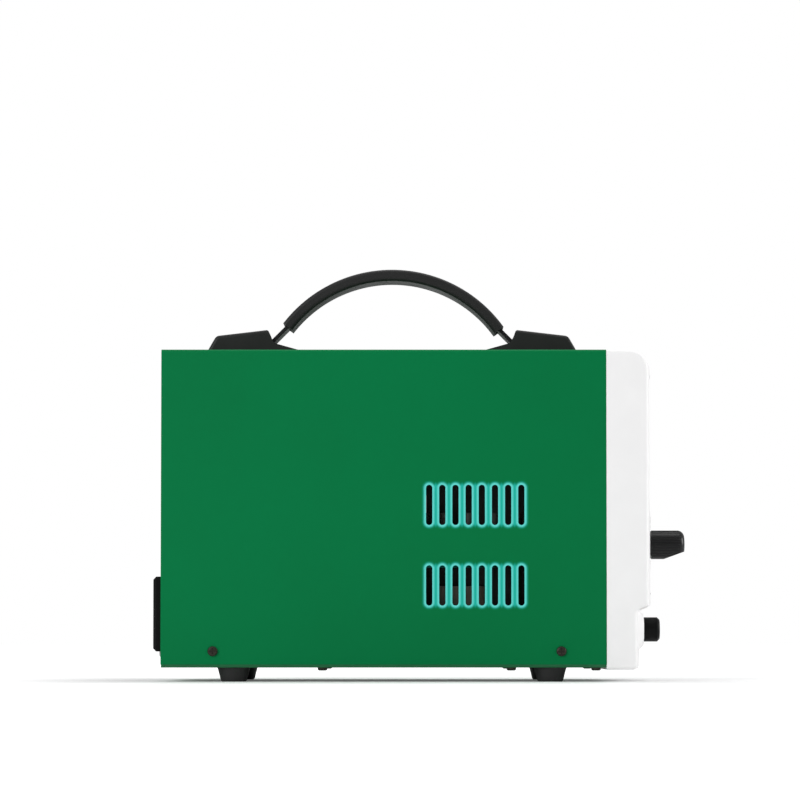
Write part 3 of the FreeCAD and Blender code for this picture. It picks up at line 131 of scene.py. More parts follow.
# %% [markdown]
# ## Effects that several finishes share
# Moulded plastic, powder paint and rubber all have a fine grain and are handled with greasy hands. The
# grain and the hand marks could be drawn again in each material, but then they would drift apart. A node
# group is built once and placed in each material with its own values.

# %% Group helper
def new_group(name, numbers, outputs):
    """A node group with a place input, named number inputs and named number outputs."""
    tree = bpy.data.node_groups.new(name, "ShaderNodeTree")
    tree.interface.new_socket("Place", in_out="INPUT", socket_type="NodeSocketVector")
    for number, start in numbers.items():
        socket = tree.interface.new_socket(number, in_out="INPUT", socket_type="NodeSocketFloat")
        socket.default_value = start
    for output in outputs:
        tree.interface.new_socket(output, in_out="OUTPUT", socket_type="NodeSocketFloat")
    return tree, tree.nodes.new("NodeGroupInput").outputs, tree.nodes.new("NodeGroupOutput").inputs


# %% Surface grain
def build_grain():
    """Fine grain as a height, and the soft blotches of polish that lie over it."""
    numbers = {"Grain": 2500.0, "Blotches": 25.0}
    coarser, fine_weight, coarse_weight = 0.3, 0.6, 0.4
    polish_from, polish_to = 0.3, 0.7
    tree, given, result = new_group("surface grain", numbers, ["Height", "Polish"])
    fine = noise(tree, given["Place"], given["Grain"], detail=2.0, roughness=0.6)
    coarse_scale = maths(tree, "MULTIPLY", given["Grain"], coarser)
    coarse = noise(tree, given["Place"], coarse_scale, detail=2.0, roughness=0.5)
    fine_share = maths(tree, "MULTIPLY", fine, fine_weight)
    coarse_share = maths(tree, "MULTIPLY", coarse, coarse_weight)
    tree.links.new(maths(tree, "ADD", fine_share, coarse_share), result["Height"])
    blotch = noise(tree, given["Place"], given["Blotches"], detail=4.0, roughness=0.6)
    tree.links.new(spread(tree, blotch, polish_from, polish_to, 0.0, 1.0), result["Polish"])
    return tree


# %% Brushing
def build_brushing():
    """Long fine scratches, as drawn or brushed metal has, along the piece's own X."""
    stretch = (0.03, 1.0, 1.0)
    streaks_from, streaks_to = 0.35, 0.65
    tree, given, result = new_group("brushing", {"Fineness": 900.0}, ["Height", "Streaks"])
    stretched = add(tree, "ShaderNodeVectorMath", operation="MULTIPLY",
                    inputs={0: given["Place"], 1: stretch}).outputs[0]
    lines = noise(tree, stretched, given["Fineness"], detail=2.0, roughness=0.5)
    tree.links.new(lines, result["Height"])
    tree.links.new(spread(tree, lines, streaks_from, streaks_to, 0.0, 1.0), result["Streaks"])
    return tree


# %% Settled dust
def build_dust():
    """A thin film that lies only on what faces up, broken by noise."""
    patches_from, patches_to, thinnest, level_from = 0.35, 0.75, 0.3, 0.4
    tree, given, result = new_group("settled dust", {"Amount": 0.2}, ["Mask"])
    normal = tree.nodes.new("ShaderNodeNewGeometry").outputs["Normal"]
    upward = add(tree, "ShaderNodeSeparateXYZ", inputs={0: normal}).outputs["Z"]
    broken = noise(tree, given["Place"], scale=60.0, detail=5.0, roughness=0.65)
    patches = spread(tree, broken, patches_from, patches_to, thinnest, 1.0)
    lying = maths(tree, "MULTIPLY", spread(tree, upward, level_from, 1.0, 0.0, 1.0), patches)
    tree.links.new(maths(tree, "MULTIPLY", lying, given["Amount"], clamp=True), result["Mask"])
    return tree


grain_group = build_grain()
brushing_group = build_brushing()
dust_group = build_dust()
print("shared effects:", [g.name for g in (grain_group, brushing_group, dust_group)])


# %% [markdown]
# ## One recipe for a finish
# A finish is a Principled shader whose colour, roughness and bump come from the shared effects. Values
# that are the same all over, such as metalness or a clear coat, are set on the shader's own sockets.

# %% Finish recipe
def srgb(red, green, blue):
    """A colour as a paint chart gives it, 0 to 255, turned into the linear light that shaders use."""
    full, toe_end, toe_slope, offset, power = 255, 0.04045, 12.92, 0.055, 2.4

    def linear(value):
        value = value / full
        return value / toe_slope if value <= toe_end else ((value + offset) / (1 + offset)) ** power
    return (linear(red), linear(green), linear(blue), 1.0)


dust_colour = srgb(150, 148, 142)


def use(tree, group, place, **numbers):
    """A group node with its place linked and its numbers set."""
    return add(tree, "ShaderNodeGroup", node_tree=group, inputs={"Place": place, **numbers}).outputs


def finish(name, colour, tint, rough, grain=2500.0, bump=0.15, depth=0.02, dust=0.0, blotches=25.0,
           brushed=False, **sockets):
    """A material: colour wanders towards tint, rough is a (polished, worn) pair, sockets are constants."""
    material = bpy.data.materials.new(name)
    material.use_nodes = True
    tree = material.node_tree
    shader = tree.nodes["Principled BSDF"]
    place = place_of(tree)
    if brushed:
        effect = use(tree, brushing_group, place, Fineness=grain)
        wander = effect["Streaks"]
    else:
        effect = use(tree, grain_group, place, Grain=grain, Blotches=blotches)
        wander = effect["Polish"]
    base = blend_colours(tree, wander, colour, tint)
    if dust:
        film = use(tree, dust_group, place, Amount=dust)["Mask"]
        base = blend_colours(tree, film, base, dust_colour)
    tree.links.new(base, shader.inputs["Base Color"])
    tree.links.new(spread(tree, wander, 0.0, 1.0, rough[0], rough[1]), shader.inputs["Roughness"])
    raised = add(tree, "ShaderNodeBump", inputs={
        "Strength": bump, "Distance": depth * mm, "Height": effect["Height"]})
    tree.links.new(raised.outputs["Normal"], shader.inputs["Normal"])
    for socket, value in sockets.items():
        shader.inputs[socket.replace("_", " ")].default_value = value
    return material


def wear(material, *names):
    """Gives a finish to frame nodes."""
    for name in names:
        for slot in nodes[name].material_slots:
            slot.material = material
    print(material.name, "->", ", ".join(names))


# %% [markdown]
# ## Powder paint and the painted glow round the vents
# The case is powder-coated green: a hard satin skin with a faint orange-peel texture. Round every vent
# slot runs a painted glow: a bright teal line that fades into the green, set in the paint as colour and
# as emission, though no lamp lights it. It has no thickness, so it is drawn in the paint, not as a piece
# of its own. The slots repeat, so the pattern folds space: it finds the nearest slot and measures how far
# the point is from that slot's rounded outline. Between two slots both glows reach the point, so the next
# slot is measured too.

# %% Vent measures
vent_first_x = 5.9 * mm
vent_pitch = 8.44 * mm
vent_last = 7.0
vent_rows_middle = 87.4 * mm
vent_rows_apart = 25.8 * mm
vent_half_width = 2.025 * mm
vent_straight = 10.875 * mm
side_depth = 2.5 * mm
glow_inner, glow_reach = 0.2 * mm, 3.1 * mm
between_inner, between_outer = 2.0 * mm, 4.2 * mm
core_inner, core_outer = 0.5 * mm, 2.0 * mm
print("vent slots stand", round(vent_pitch / mm, 2), "mm apart and glow to", round(glow_reach / mm, 1), "mm")


# %% Distance to the nearest slots
def build_vent_distance():
    """How far a point on the case's side is outside its nearest slot and the next, in metres."""
    outputs = ["Distance", "Next distance", "Has next", "On side"]
    tree, given, result = new_group("vent outline", {}, outputs)
    axes = add(tree, "ShaderNodeSeparateXYZ", inputs={0: given["Place"]}).outputs
    along = maths(tree, "DIVIDE", maths(tree, "SUBTRACT", axes["X"], vent_first_x), vent_pitch)
    row = maths(tree, "ABSOLUTE", maths(tree, "SUBTRACT", axes["Z"], vent_rows_middle))
    from_centre = maths(tree, "ABSOLUTE", maths(tree, "SUBTRACT", row, vent_rows_apart))
    beyond = maths(tree, "MAXIMUM", maths(tree, "SUBTRACT", from_centre, vent_straight), 0.0)
    beyond_squared = maths(tree, "MULTIPLY", beyond, beyond)

    def on_row(slot):
        return maths(tree, "MINIMUM", maths(tree, "MAXIMUM", slot, 0.0), vent_last)

    def outside(slot):
        across = maths(tree, "MULTIPLY", maths(tree, "SUBTRACT", along, slot), vent_pitch)
        squares = maths(tree, "ADD", maths(tree, "MULTIPLY", across, across), beyond_squared)
        return maths(tree, "SUBTRACT", maths(tree, "SQRT", squares), vent_half_width)

    nearest = on_row(maths(tree, "ROUND", along))
    towards = maths(tree, "SIGN", maths(tree, "SUBTRACT", along, nearest))
    following = on_row(maths(tree, "ADD", nearest, towards))
    tree.links.new(outside(nearest), result["Distance"])
    tree.links.new(outside(following), result["Next distance"])
    steps_on = maths(tree, "ABSOLUTE", maths(tree, "SUBTRACT", following, nearest))
    tree.links.new(steps_on, result["Has next"])
    side = maths(tree, "ABSOLUTE", axes["Y"])
    tree.links.new(maths(tree, "GREATER_THAN", side, case_side - side_depth), result["On side"])
    return tree


vent_group = build_vent_distance()
print("shared effect:", vent_group.name, "with", len(vent_group.nodes), "nodes")


# %% Green paint
green, worn_green = srgb(4, 116, 65), srgb(4, 112, 62)
teal, pale_teal, lit_teal = srgb(26, 164, 146), srgb(98, 208, 200), srgb(60, 205, 185)
unlit = (0.0, 0.0, 0.0, 1.0)
lit_share, lit_strength = 0.3, 0.35


def build_green_paint_with_glow():
    """Powder paint with a painted teal glow, in colour and emission, that follows the vent outlines."""
    paint = finish("green powder paint with painted vent glow", green, worn_green, (0.42, 0.48), grain=900.0,
                   bump=0.05, depth=0.02, dust=0.015, blotches=6.0, Specular_IOR_Level=0.05)
    tree = paint.node_tree
    shader = tree.nodes["Principled BSDF"]
    outline = use(tree, vent_group, place_of(tree))
    # painted glow: how strongly each point takes the teal glow colour, fading out from the slots
    from_nearest = spread(tree, outline["Distance"], glow_inner, glow_reach, 1.0, 0.0)
    from_next = spread(tree, outline["Next distance"], between_inner, between_outer, 1.0, 0.0)
    both = maths(tree, "ADD", from_nearest, maths(tree, "MULTIPLY", from_next, outline["Has next"]))
    glow = maths(tree, "MULTIPLY", maths(tree, "MINIMUM", both, 1.0), outline["On side"])
    # painted highlight: a paler teal core right at each slot's edge, the brightest part of the painted glow
    core = maths(tree, "MULTIPLY", spread(tree, outline["Distance"], core_inner, core_outer, 1.0, 0.0),
                 outline["On side"])
    under = shader.inputs["Base Color"].links[0].from_socket
    tinted = blend_colours(tree, glow, under, teal)
    tree.links.new(blend_colours(tree, core, tinted, pale_teal), shader.inputs["Base Color"])
    # painted glow: teal emission from the paint round the vents, though no lamp is there
    lit = blend_colours(tree, maths(tree, "MULTIPLY", glow, lit_share), unlit, lit_teal)
    tree.links.new(lit, shader.inputs["Emission Color"])
    shader.inputs["Emission Strength"].default_value = lit_strength
    return paint


pan_paint = finish("green pan paint", srgb(4, 112, 62), srgb(4, 104, 57), (0.42, 0.48), grain=900.0,
                   bump=0.05, depth=0.02, Specular_IOR_Level=0.5)
wear(build_green_paint_with_glow(), "cover")
wear(pan_paint, "chassis_pan")

# %% [markdown]
# ## Moulded plastics and rubber
# The white front is a satin moulding with an almost smooth skin. The handle's caps are black nylon with a
# visible spark-eroded grain, and the knob and sockets are smoother and darker. Rubber is duller and a little
# grey where it has been touched. One recipe covers them all, with a different grain, depth and roughness.

# %% Plastics and rubber
white_shell = finish("white moulded shell", srgb(249, 248, 248), srgb(246, 245, 245), (0.38, 0.46),
                     grain=1500.0, bump=0.05, depth=0.02, dust=0.02, Specular_IOR_Level=0.35,
                     Subsurface_Weight=0.05, Subsurface_Radius=(0.002, 0.002, 0.002))
black_nylon = finish("black grained nylon", srgb(31, 32, 31), srgb(37, 38, 37), (0.42, 0.54), grain=1800.0,
                     bump=0.3, depth=0.04, dust=0.02, Specular_IOR_Level=0.22)
knob_nylon = finish("smooth knob nylon", srgb(13, 13, 14), srgb(17, 17, 18), (0.26, 0.34), grain=1800.0,
                    bump=0.1, Specular_IOR_Level=0.32)
black_moulding = finish("smooth black moulding", srgb(9, 9, 9), srgb(12, 12, 12), (0.36, 0.46),
                        grain=1800.0, bump=0.15, Specular_IOR_Level=0.1)
black_rubber = finish("black foot rubber", srgb(33, 33, 33), srgb(39, 39, 39), (0.5, 0.62), grain=1200.0,
                      bump=0.3, depth=0.05, dust=0.03, Specular_IOR_Level=0.3)
grip_rubber = finish("soft grip rubber", srgb(22, 22, 22), srgb(28, 28, 28), (0.48, 0.6), grain=1400.0,
                     bump=0.35, depth=0.05, dust=0.02, Specular_IOR_Level=0.3, Sheen_Weight=0.05,
                     Sheen_Roughness=0.5)
grey_keys = finish("grey key plastic", srgb(150, 154, 156), srgb(138, 142, 144), (0.35, 0.45), grain=1600.0,
                   bump=0.2, depth=0.03)
red_rocker = finish("red rocker plastic", srgb(178, 22, 18), srgb(160, 18, 15), (0.25, 0.38), grain=1500.0,
                    bump=0.12, depth=0.02, Coat_Weight=0.2)
wear(white_shell, "front_bezel")
wear(black_nylon, "handle_cap_rear", "handle_cap_front", "fan_frame", "fan_rotor")
wear(knob_nylon, "control_knob")
wear(black_moulding, "socket_collar_negative", "socket_collar_positive", "trigger_socket_insert",
     "switch_frame", "inlet_body")
wear(black_rubber, "foot_front_left", "foot_front_right", "foot_rear_left", "foot_rear_right")
wear(grip_rubber, "handle_grip")
wear(grey_keys, "mode_button", "cycle_button", "gas_test_button")
wear(red_rocker, "power_rocker")

# %% [markdown]
# ## Metals
# Screws are blackened steel, the strap is spring steel, the sockets and gas fittings are turned brass,
# and the windings are copper. Bare metal takes its colour from what it reflects, so metalness is full and
# the brushing group carries the tool marks.

# %% Metals
screw_black = finish("blackened screw steel", srgb(64, 61, 54), srgb(52, 49, 43), (0.34, 0.5), grain=1500.0,
                     brushed=True, bump=0.2, Metallic=0.85)
spring_steel = finish("blackened spring steel", srgb(30, 30, 31), srgb(22, 22, 23), (0.36, 0.5), brushed=True,
                      bump=0.15, Metallic=0.6)
plated = finish("zinc plate", srgb(196, 198, 200), srgb(180, 182, 184), (0.2, 0.34), brushed=True,
                bump=0.12, Metallic=1.0)
turned_brass = finish("turned brass", srgb(206, 168, 88), srgb(188, 146, 70), (0.22, 0.38), brushed=True,
                      bump=0.15, Metallic=1.0)
copper = finish("enamelled copper", srgb(150, 84, 54), srgb(122, 66, 44), (0.3, 0.44), brushed=True,
                bump=0.2, Metallic=1.0, Coat_Weight=0.3)
winding_tape = finish("winding tape", srgb(150, 130, 116), srgb(124, 106, 94), (0.34, 0.48), grain=700.0,
                      bump=0.2)
black_sheet = finish("black powder paint", srgb(24, 25, 25), srgb(20, 21, 21), (0.42, 0.52), grain=900.0,
                     bump=0.2, depth=0.04, dust=0.05)
heatsink_metal = finish("black anodised aluminium", srgb(40, 41, 43), srgb(32, 33, 35), (0.34, 0.5),
                        brushed=True, bump=0.2, Metallic=0.7)
wear(screw_black, "cover_screws", "case_screws", "bezel_screws", "foot_screws", "handle_screws", "fan_screws")
wear(spring_steel, "handle_strap", "handle_anchors")
wear(plated, "encoder_body", "encoder_shaft", "encoder_plunger", "trigger_socket_shell", "earth_stud")
wear(turned_brass, "socket_contact_negative", "socket_contact_positive", "gas_outlet", "gas_inlet",
     "socket_nuts", "solenoid_valve", "mains_terminals")
wear(copper, "internal_leads", "fan_stator", "output_inductor")
wear(winding_tape, "transformer_winding")
wear(black_sheet, "rear_panel", "front_plate")
wear(heatsink_metal, "heatsinks")

# %% [markdown]
# ## Panel, lenses and the insides
# The fascia is glossy, so a clear coat lies over a nearly black base. The display lens is smoked and the
# light pipes are clear: both transmit light. The insides are seen only as dark shapes through the vents.

# %% Panel and insides
gloss_fascia = finish("gloss fascia", srgb(14, 14, 15), srgb(20, 20, 21), (0.08, 0.16), grain=600.0,
                      bump=0.03, depth=0.01, Coat_Weight=0.6, Coat_Roughness=0.04)
smoked_lens = finish("smoked lens", srgb(70, 26, 26), srgb(60, 22, 22), (0.06, 0.12), grain=600.0, bump=0.02,
                     depth=0.01, Transmission_Weight=0.85, IOR=1.49)
light_pipe = finish("clear light pipe", srgb(210, 226, 214), srgb(196, 214, 202), (0.12, 0.2), bump=0.05,
                    Transmission_Weight=0.7, IOR=1.49)
board_green = finish("circuit board", srgb(20, 66, 40), srgb(15, 54, 32), (0.3, 0.45), grain=1200.0,
                     bump=0.15, blotches=180.0)
black_epoxy = finish("black epoxy", srgb(34, 32, 30), srgb(46, 42, 38), (0.5, 0.7), grain=1100.0, bump=0.3,
                     depth=0.05)
can_sleeve = finish("capacitor sleeve", srgb(52, 46, 44), srgb(66, 58, 54), (0.25, 0.4), bump=0.08)
gas_hose = finish("grey gas hose", srgb(74, 72, 66), srgb(62, 60, 55), (0.35, 0.5), bump=0.15)
wear(gloss_fascia, "control_fascia")
wear(smoked_lens, "display_window")
wear(light_pipe, "indicator_lenses")
wear(board_green, "main_board", "control_board", "socket_plate")
wear(black_epoxy, "power_transistors", "transformer_core", "ignition_unit")
wear(can_sleeve, "power_capacitors")
wear(gas_hose, "gas_hoses")

# %% [markdown]
# ## Making a small piece
# The pieces that Blender adds are small: digits, marks, an inlay. Each starts from an operator's own shape
# in a bmesh, which is Blender's mesh in a form that a script can work on. The helper turns it into an
# object at the origin, makes it ride on a body of the frame, and names the finish slot it belongs to.

# %% Piece helper
def piece(name, mesh_in_work, material, body):
    """A finished object from a bmesh, riding on a body."""
    bmesh.ops.recalc_face_normals(mesh_in_work, faces=mesh_in_work.faces)
    mesh = bpy.data.meshes.new(name)
    mesh_in_work.to_mesh(mesh)
    mesh_in_work.free()
    mesh.materials.append(material)
    made = bpy.data.objects.new(name, mesh)
    bpy.context.scene.collection.objects.link(made)
    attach(made, body)
    print(name, "has", len(mesh.polygons), "faces and rides on", body)
    return made


def slab(work, centre, size, turn=0.0, soften=0.0):
    """A thin block with softened edges, turned about X by an angle in degrees."""
    verts = bmesh.ops.create_cube(work, size=1.0)["verts"]
    bmesh.ops.scale(work, vec=size, verts=verts)
    if soften:
        edges = list({edge for vert in verts for edge in vert.link_edges})
        made = bmesh.ops.bevel(work, geom=edges, offset=soften, affect="EDGES", segments=2, profile=0.5,
                               material=-1)
        on_bevels = {vert for face in made["faces"] for vert in face.verts}
        verts = list(on_bevels | {vert for vert in verts if vert.is_valid})
    bmesh.ops.rotate(work, cent=(0, 0, 0), matrix=Matrix.Rotation(math.radians(turn), 3, "X"), verts=verts)
    bmesh.ops.translate(work, vec=centre, verts=verts)
    return verts


# %% [markdown]
# ## The hem of the pan
# The pan's floor stops a little below the cover's rear edge, and the frame leaves a low slit between them
# that daylight would show through. A thin strip of the same paint closes it. A real pan may have its edge
# folded back on itself there, and a block as long as such a hem is the plainest way to stand in for it.

# %% Pan hem
hem_long, hem_inset, hem_soften = 2.75 * mm, 2.4 * mm, 0.1 * mm
pan_thick, into_cover = 1.15 * mm, 0.05 * mm
hem_low, hem_high = low("chassis_pan").z + pan_thick, low("cover").z + into_cover
hem_half = high("chassis_pan").y - hem_inset
hem = bmesh.new()
slab(hem, (low("chassis_pan").x + hem_long / 2, 0, (hem_low + hem_high) / 2),
     (hem_long, 2 * hem_half, hem_high - hem_low), soften=hem_soften)
piece("pan_hem", hem, pan_paint, "case")

# %% [markdown]
# ## The figures behind the lens
# A welder shows its current on three seven-segment figures. They could be painted on the display by a
# pattern, but real segments are little windows with depth behind a smoked lens, so each is a thin lit
# slab. One list says which segments make which figure; it reads 120, a common working current.

# %% Lit segments
display_face = 143.0 * mm
figure_height, figure_width, figure_pitch = 13.0 * mm, 7.0 * mm, 12.0 * mm
segment_width, segment_thick = 1.3 * mm, 0.3 * mm
segment_gap, segment_soften = 0.9 * mm, 0.12 * mm
segments_of = {"0": "abcdef", "1": "bc", "2": "abged"}
half_h, half_w = figure_height / 2, figure_width / 2
segment_places = {
    "a": (0, half_h, 90), "g": (0, 0, 90), "d": (0, -half_h, 90),
    "f": (-half_w, half_h / 2, 0), "b": (half_w, half_h / 2, 0),
    "e": (-half_w, -half_h / 2, 0), "c": (half_w, -half_h / 2, 0)}


def lit_material(name, colour, strength):
    """A finish that also glows evenly in its own colour."""
    glowing = finish(name, colour, colour, (0.4, 0.5), grain=900.0, bump=0.05)
    shader = glowing.node_tree.nodes["Principled BSDF"]
    shader.inputs["Emission Color"].default_value = colour
    shader.inputs["Emission Strength"].default_value = strength
    return glowing


lit_red = lit_material("lit red", srgb(255, 60, 40), 3.0)
window_middle = middle("display_window")
segments = bmesh.new()
for place, figure in enumerate("120"):
    figure_y = (place - 1) * figure_pitch
    for letter in segments_of[figure]:
        y, z, turn = segment_places[letter]
        length = figure_width if turn else half_h
        slab(segments, (display_face + segment_thick / 2, figure_y + y, window_middle.z + z),
             (segment_thick, segment_width, length - segment_gap), turn, segment_soften)
piece("display_segments", segments, lit_red, "case")

# %% [markdown]
# ## Marks printed on the bulged front
# The scale round the knob, the rings round the keys and the socket signs are pad-printed ink. The front
# bulges forward in the middle, so a flat mark would float at one end and sink at the other. Each mark is
# made flat and a hair thick, then every corner is pushed out to the bulge, which is an arc of one radius.

# %% The bulge
bezel_half_width = high("front_bezel").y
crown_front = high("front_bezel").x
crown_sag = 4.5 * mm
crown_radius = bezel_half_width ** 2 / (2 * crown_sag) + crown_sag / 2
ink_depth = 0.12 * mm
print("the front bulges to a radius of", round(crown_radius / mm, 1), "mm")


def bulge(y):
    """How far forward the front's skin is at a distance y from its middle."""
    return crown_front - crown_radius + math.sqrt(crown_radius ** 2 - y ** 2)


def lay_on_front(work):
    """Moves every corner of flat marks, made round x = 0, out to the bulged skin."""
    for vert in work.verts:
        vert.co.x += bulge(vert.co.y)


# %% Scale, rings and signs
knob_middle = middle("control_knob")
knob_axis_z = (low("encoder_body").z + high("encoder_body").z) / 2
scale_from, scale_to, scale_steps, steps_to_long_tick = -135.0, 135.0, 13, 3
scale_radius, tick_wide, short_tick, long_tick = 15.0 * mm, 0.55 * mm, 2.0 * mm, 3.2 * mm
ring_radius, ring_spread, ring_steps = 7.4 * mm, 1.07, 48
sign_height, sign_long, sign_wide = 56.5 * mm, 5.0 * mm, 0.9 * mm
upright_depth = ink_depth * 0.9
marks = bmesh.new()
for step in range(scale_steps):
    turn = scale_from + (scale_to - scale_from) * step / (scale_steps - 1)
    reach = short_tick if step % steps_to_long_tick else long_tick
    away = scale_radius + reach / 2
    angle = math.radians(turn)
    slab(marks, (0, knob_middle.y + away * math.sin(angle), knob_axis_z + away * math.cos(angle)),
         (ink_depth, tick_wide, reach), -turn)
for node in ("mode_button", "cycle_button", "gas_test_button"):
    at = middle(node)
    rim = bmesh.ops.create_circle(marks, segments=ring_steps, radius=ring_radius)["verts"]
    bmesh.ops.rotate(marks, cent=(0, 0, 0), matrix=Matrix.Rotation(math.radians(90), 3, "Y"), verts=rim)
    bmesh.ops.translate(marks, vec=(0, at.y, at.z), verts=rim)
    edges = list({edge for vert in rim for edge in vert.link_edges})
    wide = bmesh.ops.extrude_edge_only(marks, edges=edges)["geom"]
    outer = [part for part in wide if isinstance(part, bmesh.types.BMVert)]
    bmesh.ops.scale(marks, vec=(1, ring_spread, ring_spread), verts=outer,
                    space=Matrix.Translation((0, -at.y, -at.z)))
    ring = list({face for vert in outer for face in vert.link_faces})
    bmesh.ops.solidify(marks, geom=ring, thickness=ink_depth / 2)
for node, crossed in (("socket_contact_negative", False), ("socket_contact_positive", True)):
    sign_y = middle(node).y
    slab(marks, (0, sign_y, sign_height), (ink_depth, sign_long, sign_wide))
    if crossed:
        slab(marks, (0, sign_y, sign_height), (upright_depth, sign_wide, sign_long))
lay_on_front(marks)
ink = finish("grey ink", srgb(58, 60, 62), srgb(70, 72, 74), (0.4, 0.5), grain=2200.0, bump=0.05)
piece("front_marks", marks, ink, "case")

# %% [markdown]
# ## The knob's pointer
# The knob's end is cut away at a slant, and a groove down the slant holds a strip of white paint, so the
# welder can feel and see where it points. The strip is its own piece, so that it turns with the knob.

# %% Pointer strip
slant_x, slant_drop, slant_angle = 158.5 * mm, 0.3 * mm, -20.0
slant_start = Vector((slant_x, knob_middle.y, low("control_knob").z + slant_drop))
strip_long, strip_wide, strip_thick = 11.0 * mm, 1.1 * mm, 0.3 * mm
strip_start, strip_rise, strip_soften = 1.7 * mm, 0.2 * mm, 0.08 * mm
pointer = bmesh.new()
slab(pointer, (strip_start + strip_long / 2, 0, strip_rise), (strip_long, strip_wide, strip_thick),
     soften=strip_soften)
bmesh.ops.rotate(pointer, cent=(0, 0, 0), matrix=Matrix.Rotation(math.radians(slant_angle), 3, "Y"),
                 verts=pointer.verts)
bmesh.ops.translate(pointer, vec=slant_start, verts=pointer.verts)
white_paint = finish("white filler paint", srgb(228, 228, 224), srgb(214, 214, 210), (0.4, 0.55), bump=0.1)
piece("knob_pointer", pointer, white_paint, "knob")

# %% [markdown]
# ## Small parts on the power board
# Through the vents the eye catches a crowd of small parts. The large ones are in the frame. Resistors and
# small capacitors are repeated shapes a few millimetres long, so two short loops set them out in rows.

# %% Board parts
board_skin = 97.6 * mm
resistor_long, resistor_wide, resistor_high, resistor_soften = 5.5 * mm, 2.4 * mm, 3.2 * mm, 0.5 * mm
resistor_columns, resistor_first, resistor_pitch, resistor_out = 9, -8 * mm, 9 * mm, 36 * mm
parts_on_board = bmesh.new()
for column in range(resistor_columns):
    for side in (-1, 1):
        at = (resistor_first + resistor_pitch * column, side * resistor_out, board_skin + resistor_high / 2)
        slab(parts_on_board, at, (resistor_long, resistor_wide, resistor_high), soften=resistor_soften)
brown_parts = finish("brown component lacquer", srgb(112, 82, 64), srgb(92, 68, 54), (0.35, 0.5),
                     grain=1400.0, bump=0.15)
piece("board_resistors", parts_on_board, brown_parts, "case")

can_r, can_high, can_edge, can_steps, sharp_angle = 4.0 * mm, 11.0 * mm, 0.5 * mm, 32, 1.0
can_columns, can_first, can_pitch, can_out = 5, 2 * mm, 15 * mm, 47 * mm
cans = bmesh.new()
for column in range(can_columns):
    for side in (-1, 1):
        made = bmesh.ops.create_cone(cans, cap_ends=True, segments=can_steps, radius1=can_r, radius2=can_r,
                                     depth=can_high)["verts"]
        rims = [edge for edge in {edge for vert in made for edge in vert.link_edges}
                if len(edge.link_faces) == 2 and edge.calc_face_angle(0) > sharp_angle]
        bevelled = bmesh.ops.bevel(cans, geom=rims, offset=can_edge, affect="EDGES", segments=2, profile=0.5,
                                   material=-1)["faces"]
        whole = {vert for face in bevelled for vert in face.verts}
        at = (can_first + can_pitch * column, side * can_out, board_skin + can_high / 2)
        bmesh.ops.translate(cans, vec=at, verts=list(whole))
piece("board_capacitors", cans, can_sleeve, "case")

# %% [markdown]
# ## Floor and light
# A plain pale floor carries the machine's contact shadow. Where only the camera sees it, the floor has a
# painted glow: weak under and next to the machine, which paints a shade round it on top of the real
# contact shadow, and stronger further off, which paints the floor white away from the machine without
# lighting the machine from below. The light is a catalogue's: soft from all round, with a large panel in
# front of the side that faces the viewer, and one above that draws a bright line along the handle and the
# bezel's rounded edges.

# %% Floor
floor_half = 6.0
shade_reach = 200 * mm
clear_from, clear_to = 0.2, 1.2
glow_under, glow_near, glow_far = 0.1, 0.45, 0.7
floor_work = bmesh.new()
bmesh.ops.create_grid(floor_work, x_segments=1, y_segments=1, size=floor_half)
floor_mesh = bpy.data.meshes.new("floor")
floor_work.to_mesh(floor_mesh)
floor_work.free()
floor = bpy.data.objects.new("floor", floor_mesh)
bpy.context.scene.collection.objects.link(floor)
floor_paint = finish("pale floor", srgb(246, 246, 246), srgb(242, 242, 242), (0.5, 0.6), grain=300.0,
                     bump=0.02, blotches=3.0, Emission_Color=(1.0, 1.0, 1.0, 1.0))
floor_tree = floor_paint.node_tree
floor_axes = add(floor_tree, "ShaderNodeSeparateXYZ", inputs={0: place_of(floor_tree)}).outputs
past_end = maths(floor_tree, "SUBTRACT", maths(floor_tree, "ABSOLUTE", floor_axes["X"]), -low("cover").x)
past_side = maths(floor_tree, "SUBTRACT", maths(floor_tree, "ABSOLUTE", floor_axes["Y"]), case_side)
from_machine = maths(floor_tree, "MAXIMUM", past_end, past_side)
# painted shade: the floor's glow is weakest under the machine and rises over shade_reach, darkening round it
close_glow = spread(floor_tree, from_machine, 0.0, shade_reach, glow_under, glow_near)
# painted light: a further glow that whitens the far floor towards the horizon
wide_glow = spread(floor_tree, from_machine, clear_from, clear_to, 0.0, glow_far - glow_near)
seen_directly = floor_tree.nodes.new("ShaderNodeLightPath").outputs["Is Camera Ray"]
floor_glow = maths(floor_tree, "MULTIPLY", maths(floor_tree, "ADD", close_glow, wide_glow), seen_directly)
floor_tree.links.new(floor_glow, floor_tree.nodes["Principled BSDF"].inputs["Emission Strength"])
floor_mesh.materials.append(floor_paint)
print("the floor is", 2 * floor_half, "m wide, shaded to", shade_reach, "m from the machine")

# %% [markdown]
# ## A pale room
# The room is a plain pale light from all sides, which fills the shadows. The camera itself sees pure white,
# so that the machine stands on a clean page. A Mix Shader picks between the two by the kind of ray.

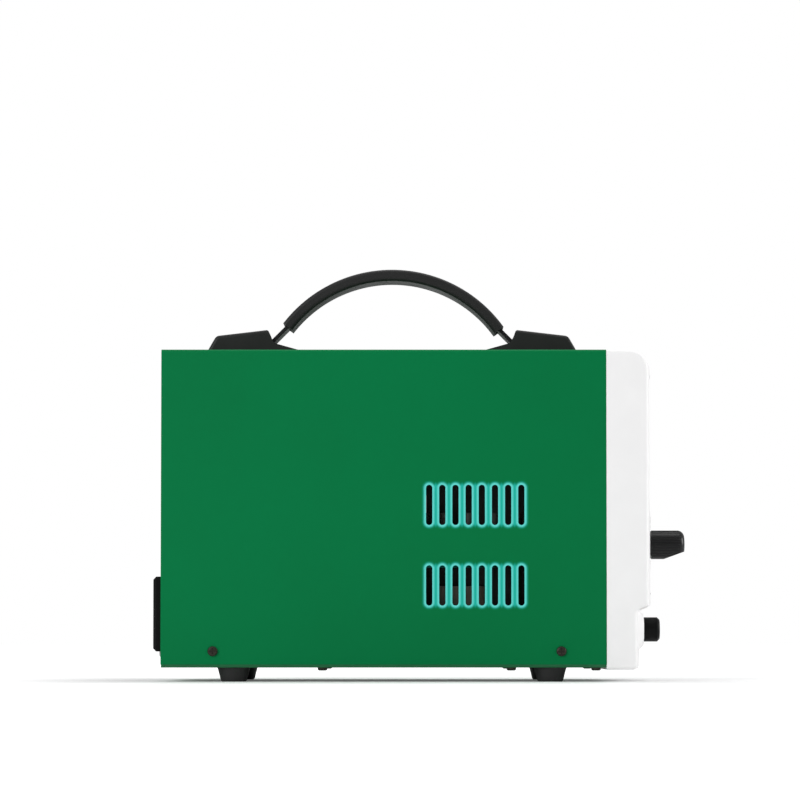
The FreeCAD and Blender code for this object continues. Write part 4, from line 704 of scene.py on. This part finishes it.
# %% Surroundings
scene = bpy.context.scene
scene.view_settings.view_transform = "Standard"
room_colour, room_strength = (0.98, 0.99, 1.0, 1.0), 0.4
white = (1.0, 1.0, 1.0, 1.0)
world = bpy.data.worlds.new("studio")
scene.world = world
world.use_nodes = True
sky = world.node_tree
surround = sky.nodes["Background"]
surround.inputs["Color"].default_value = room_colour
surround.inputs["Strength"].default_value = room_strength
seen = add(sky, "ShaderNodeBackground", inputs={"Color": white, "Strength": 1.0})
ray = sky.nodes.new("ShaderNodeLightPath")
mixed = add(sky, "ShaderNodeMixShader", inputs={0: ray.outputs["Is Camera Ray"], 1: surround.outputs[0],
                                                2: seen.outputs[0]})
sky.links.new(mixed.outputs[0], sky.nodes["World Output"].inputs["Surface"])
print("the room lights the machine at", room_strength)


# %% [markdown]
# ## Soft panels
# Each light is a large rectangle, because a large light draws soft shadows and long calm reflections. A
# lamp shines along its own minus Z, so the helper turns that axis towards the point it should light.

# %% Lights
def soft_panel(name, place, aim, width, height, power):
    """A large rectangular studio light."""
    light = bpy.data.lights.new(name, "AREA")
    light.shape = "RECTANGLE"
    light.size, light.size_y, light.energy = width, height, power
    lamp = bpy.data.objects.new(name, light)
    lamp.location = place
    lamp.rotation_euler = (Vector(aim) - Vector(place)).to_track_quat("-Z", "Y").to_euler()
    scene.collection.objects.link(lamp)
    print(name, "shines with", power, "W")


soft_panel("key panel", (-1.3, -1.45, 0.9), (0, 0, 0.13), 1.2, 1.0, 20)
soft_panel("top panel", (0.1, 0.2, 1.7), (0, 0, 0.1), 1.4, 1.0, 11)
soft_panel("front panel", (1.9, -0.1, 0.7), (0.1, 0, 0.12), 1.0, 1.0, 18)
soft_panel("back panel", (-1.6, 1.6, 0.9), (0, 0, 0.12), 1.2, 1.0, 7)

# %% [markdown]
# ## The camera
# The machine is seen squarely from its left side, from low down and far back, so its upright edges stay
# upright. A long lens does that. The lens is tipped up a little to centre the machine, and a small shift
# sets the rest of the framing.

# %% Camera
level, tipped_up = 90.0, 2.2
view = bpy.data.cameras.new("side view")
view.lens = 144.1
view.sensor_width = 36.0
view.shift_x = -0.030
view.shift_y = 0.1386
camera = bpy.data.objects.new("side view", view)
camera.location = (2.6 * mm, -2112.5 * mm, 30.6 * mm)
camera.rotation_euler = (math.radians(level + tipped_up), 0.0, 0.0)
scene.collection.objects.link(camera)
scene.camera = camera
print("the camera stands", round(-camera.location.y, 2), "m away, with a lens of", view.lens, "mm")
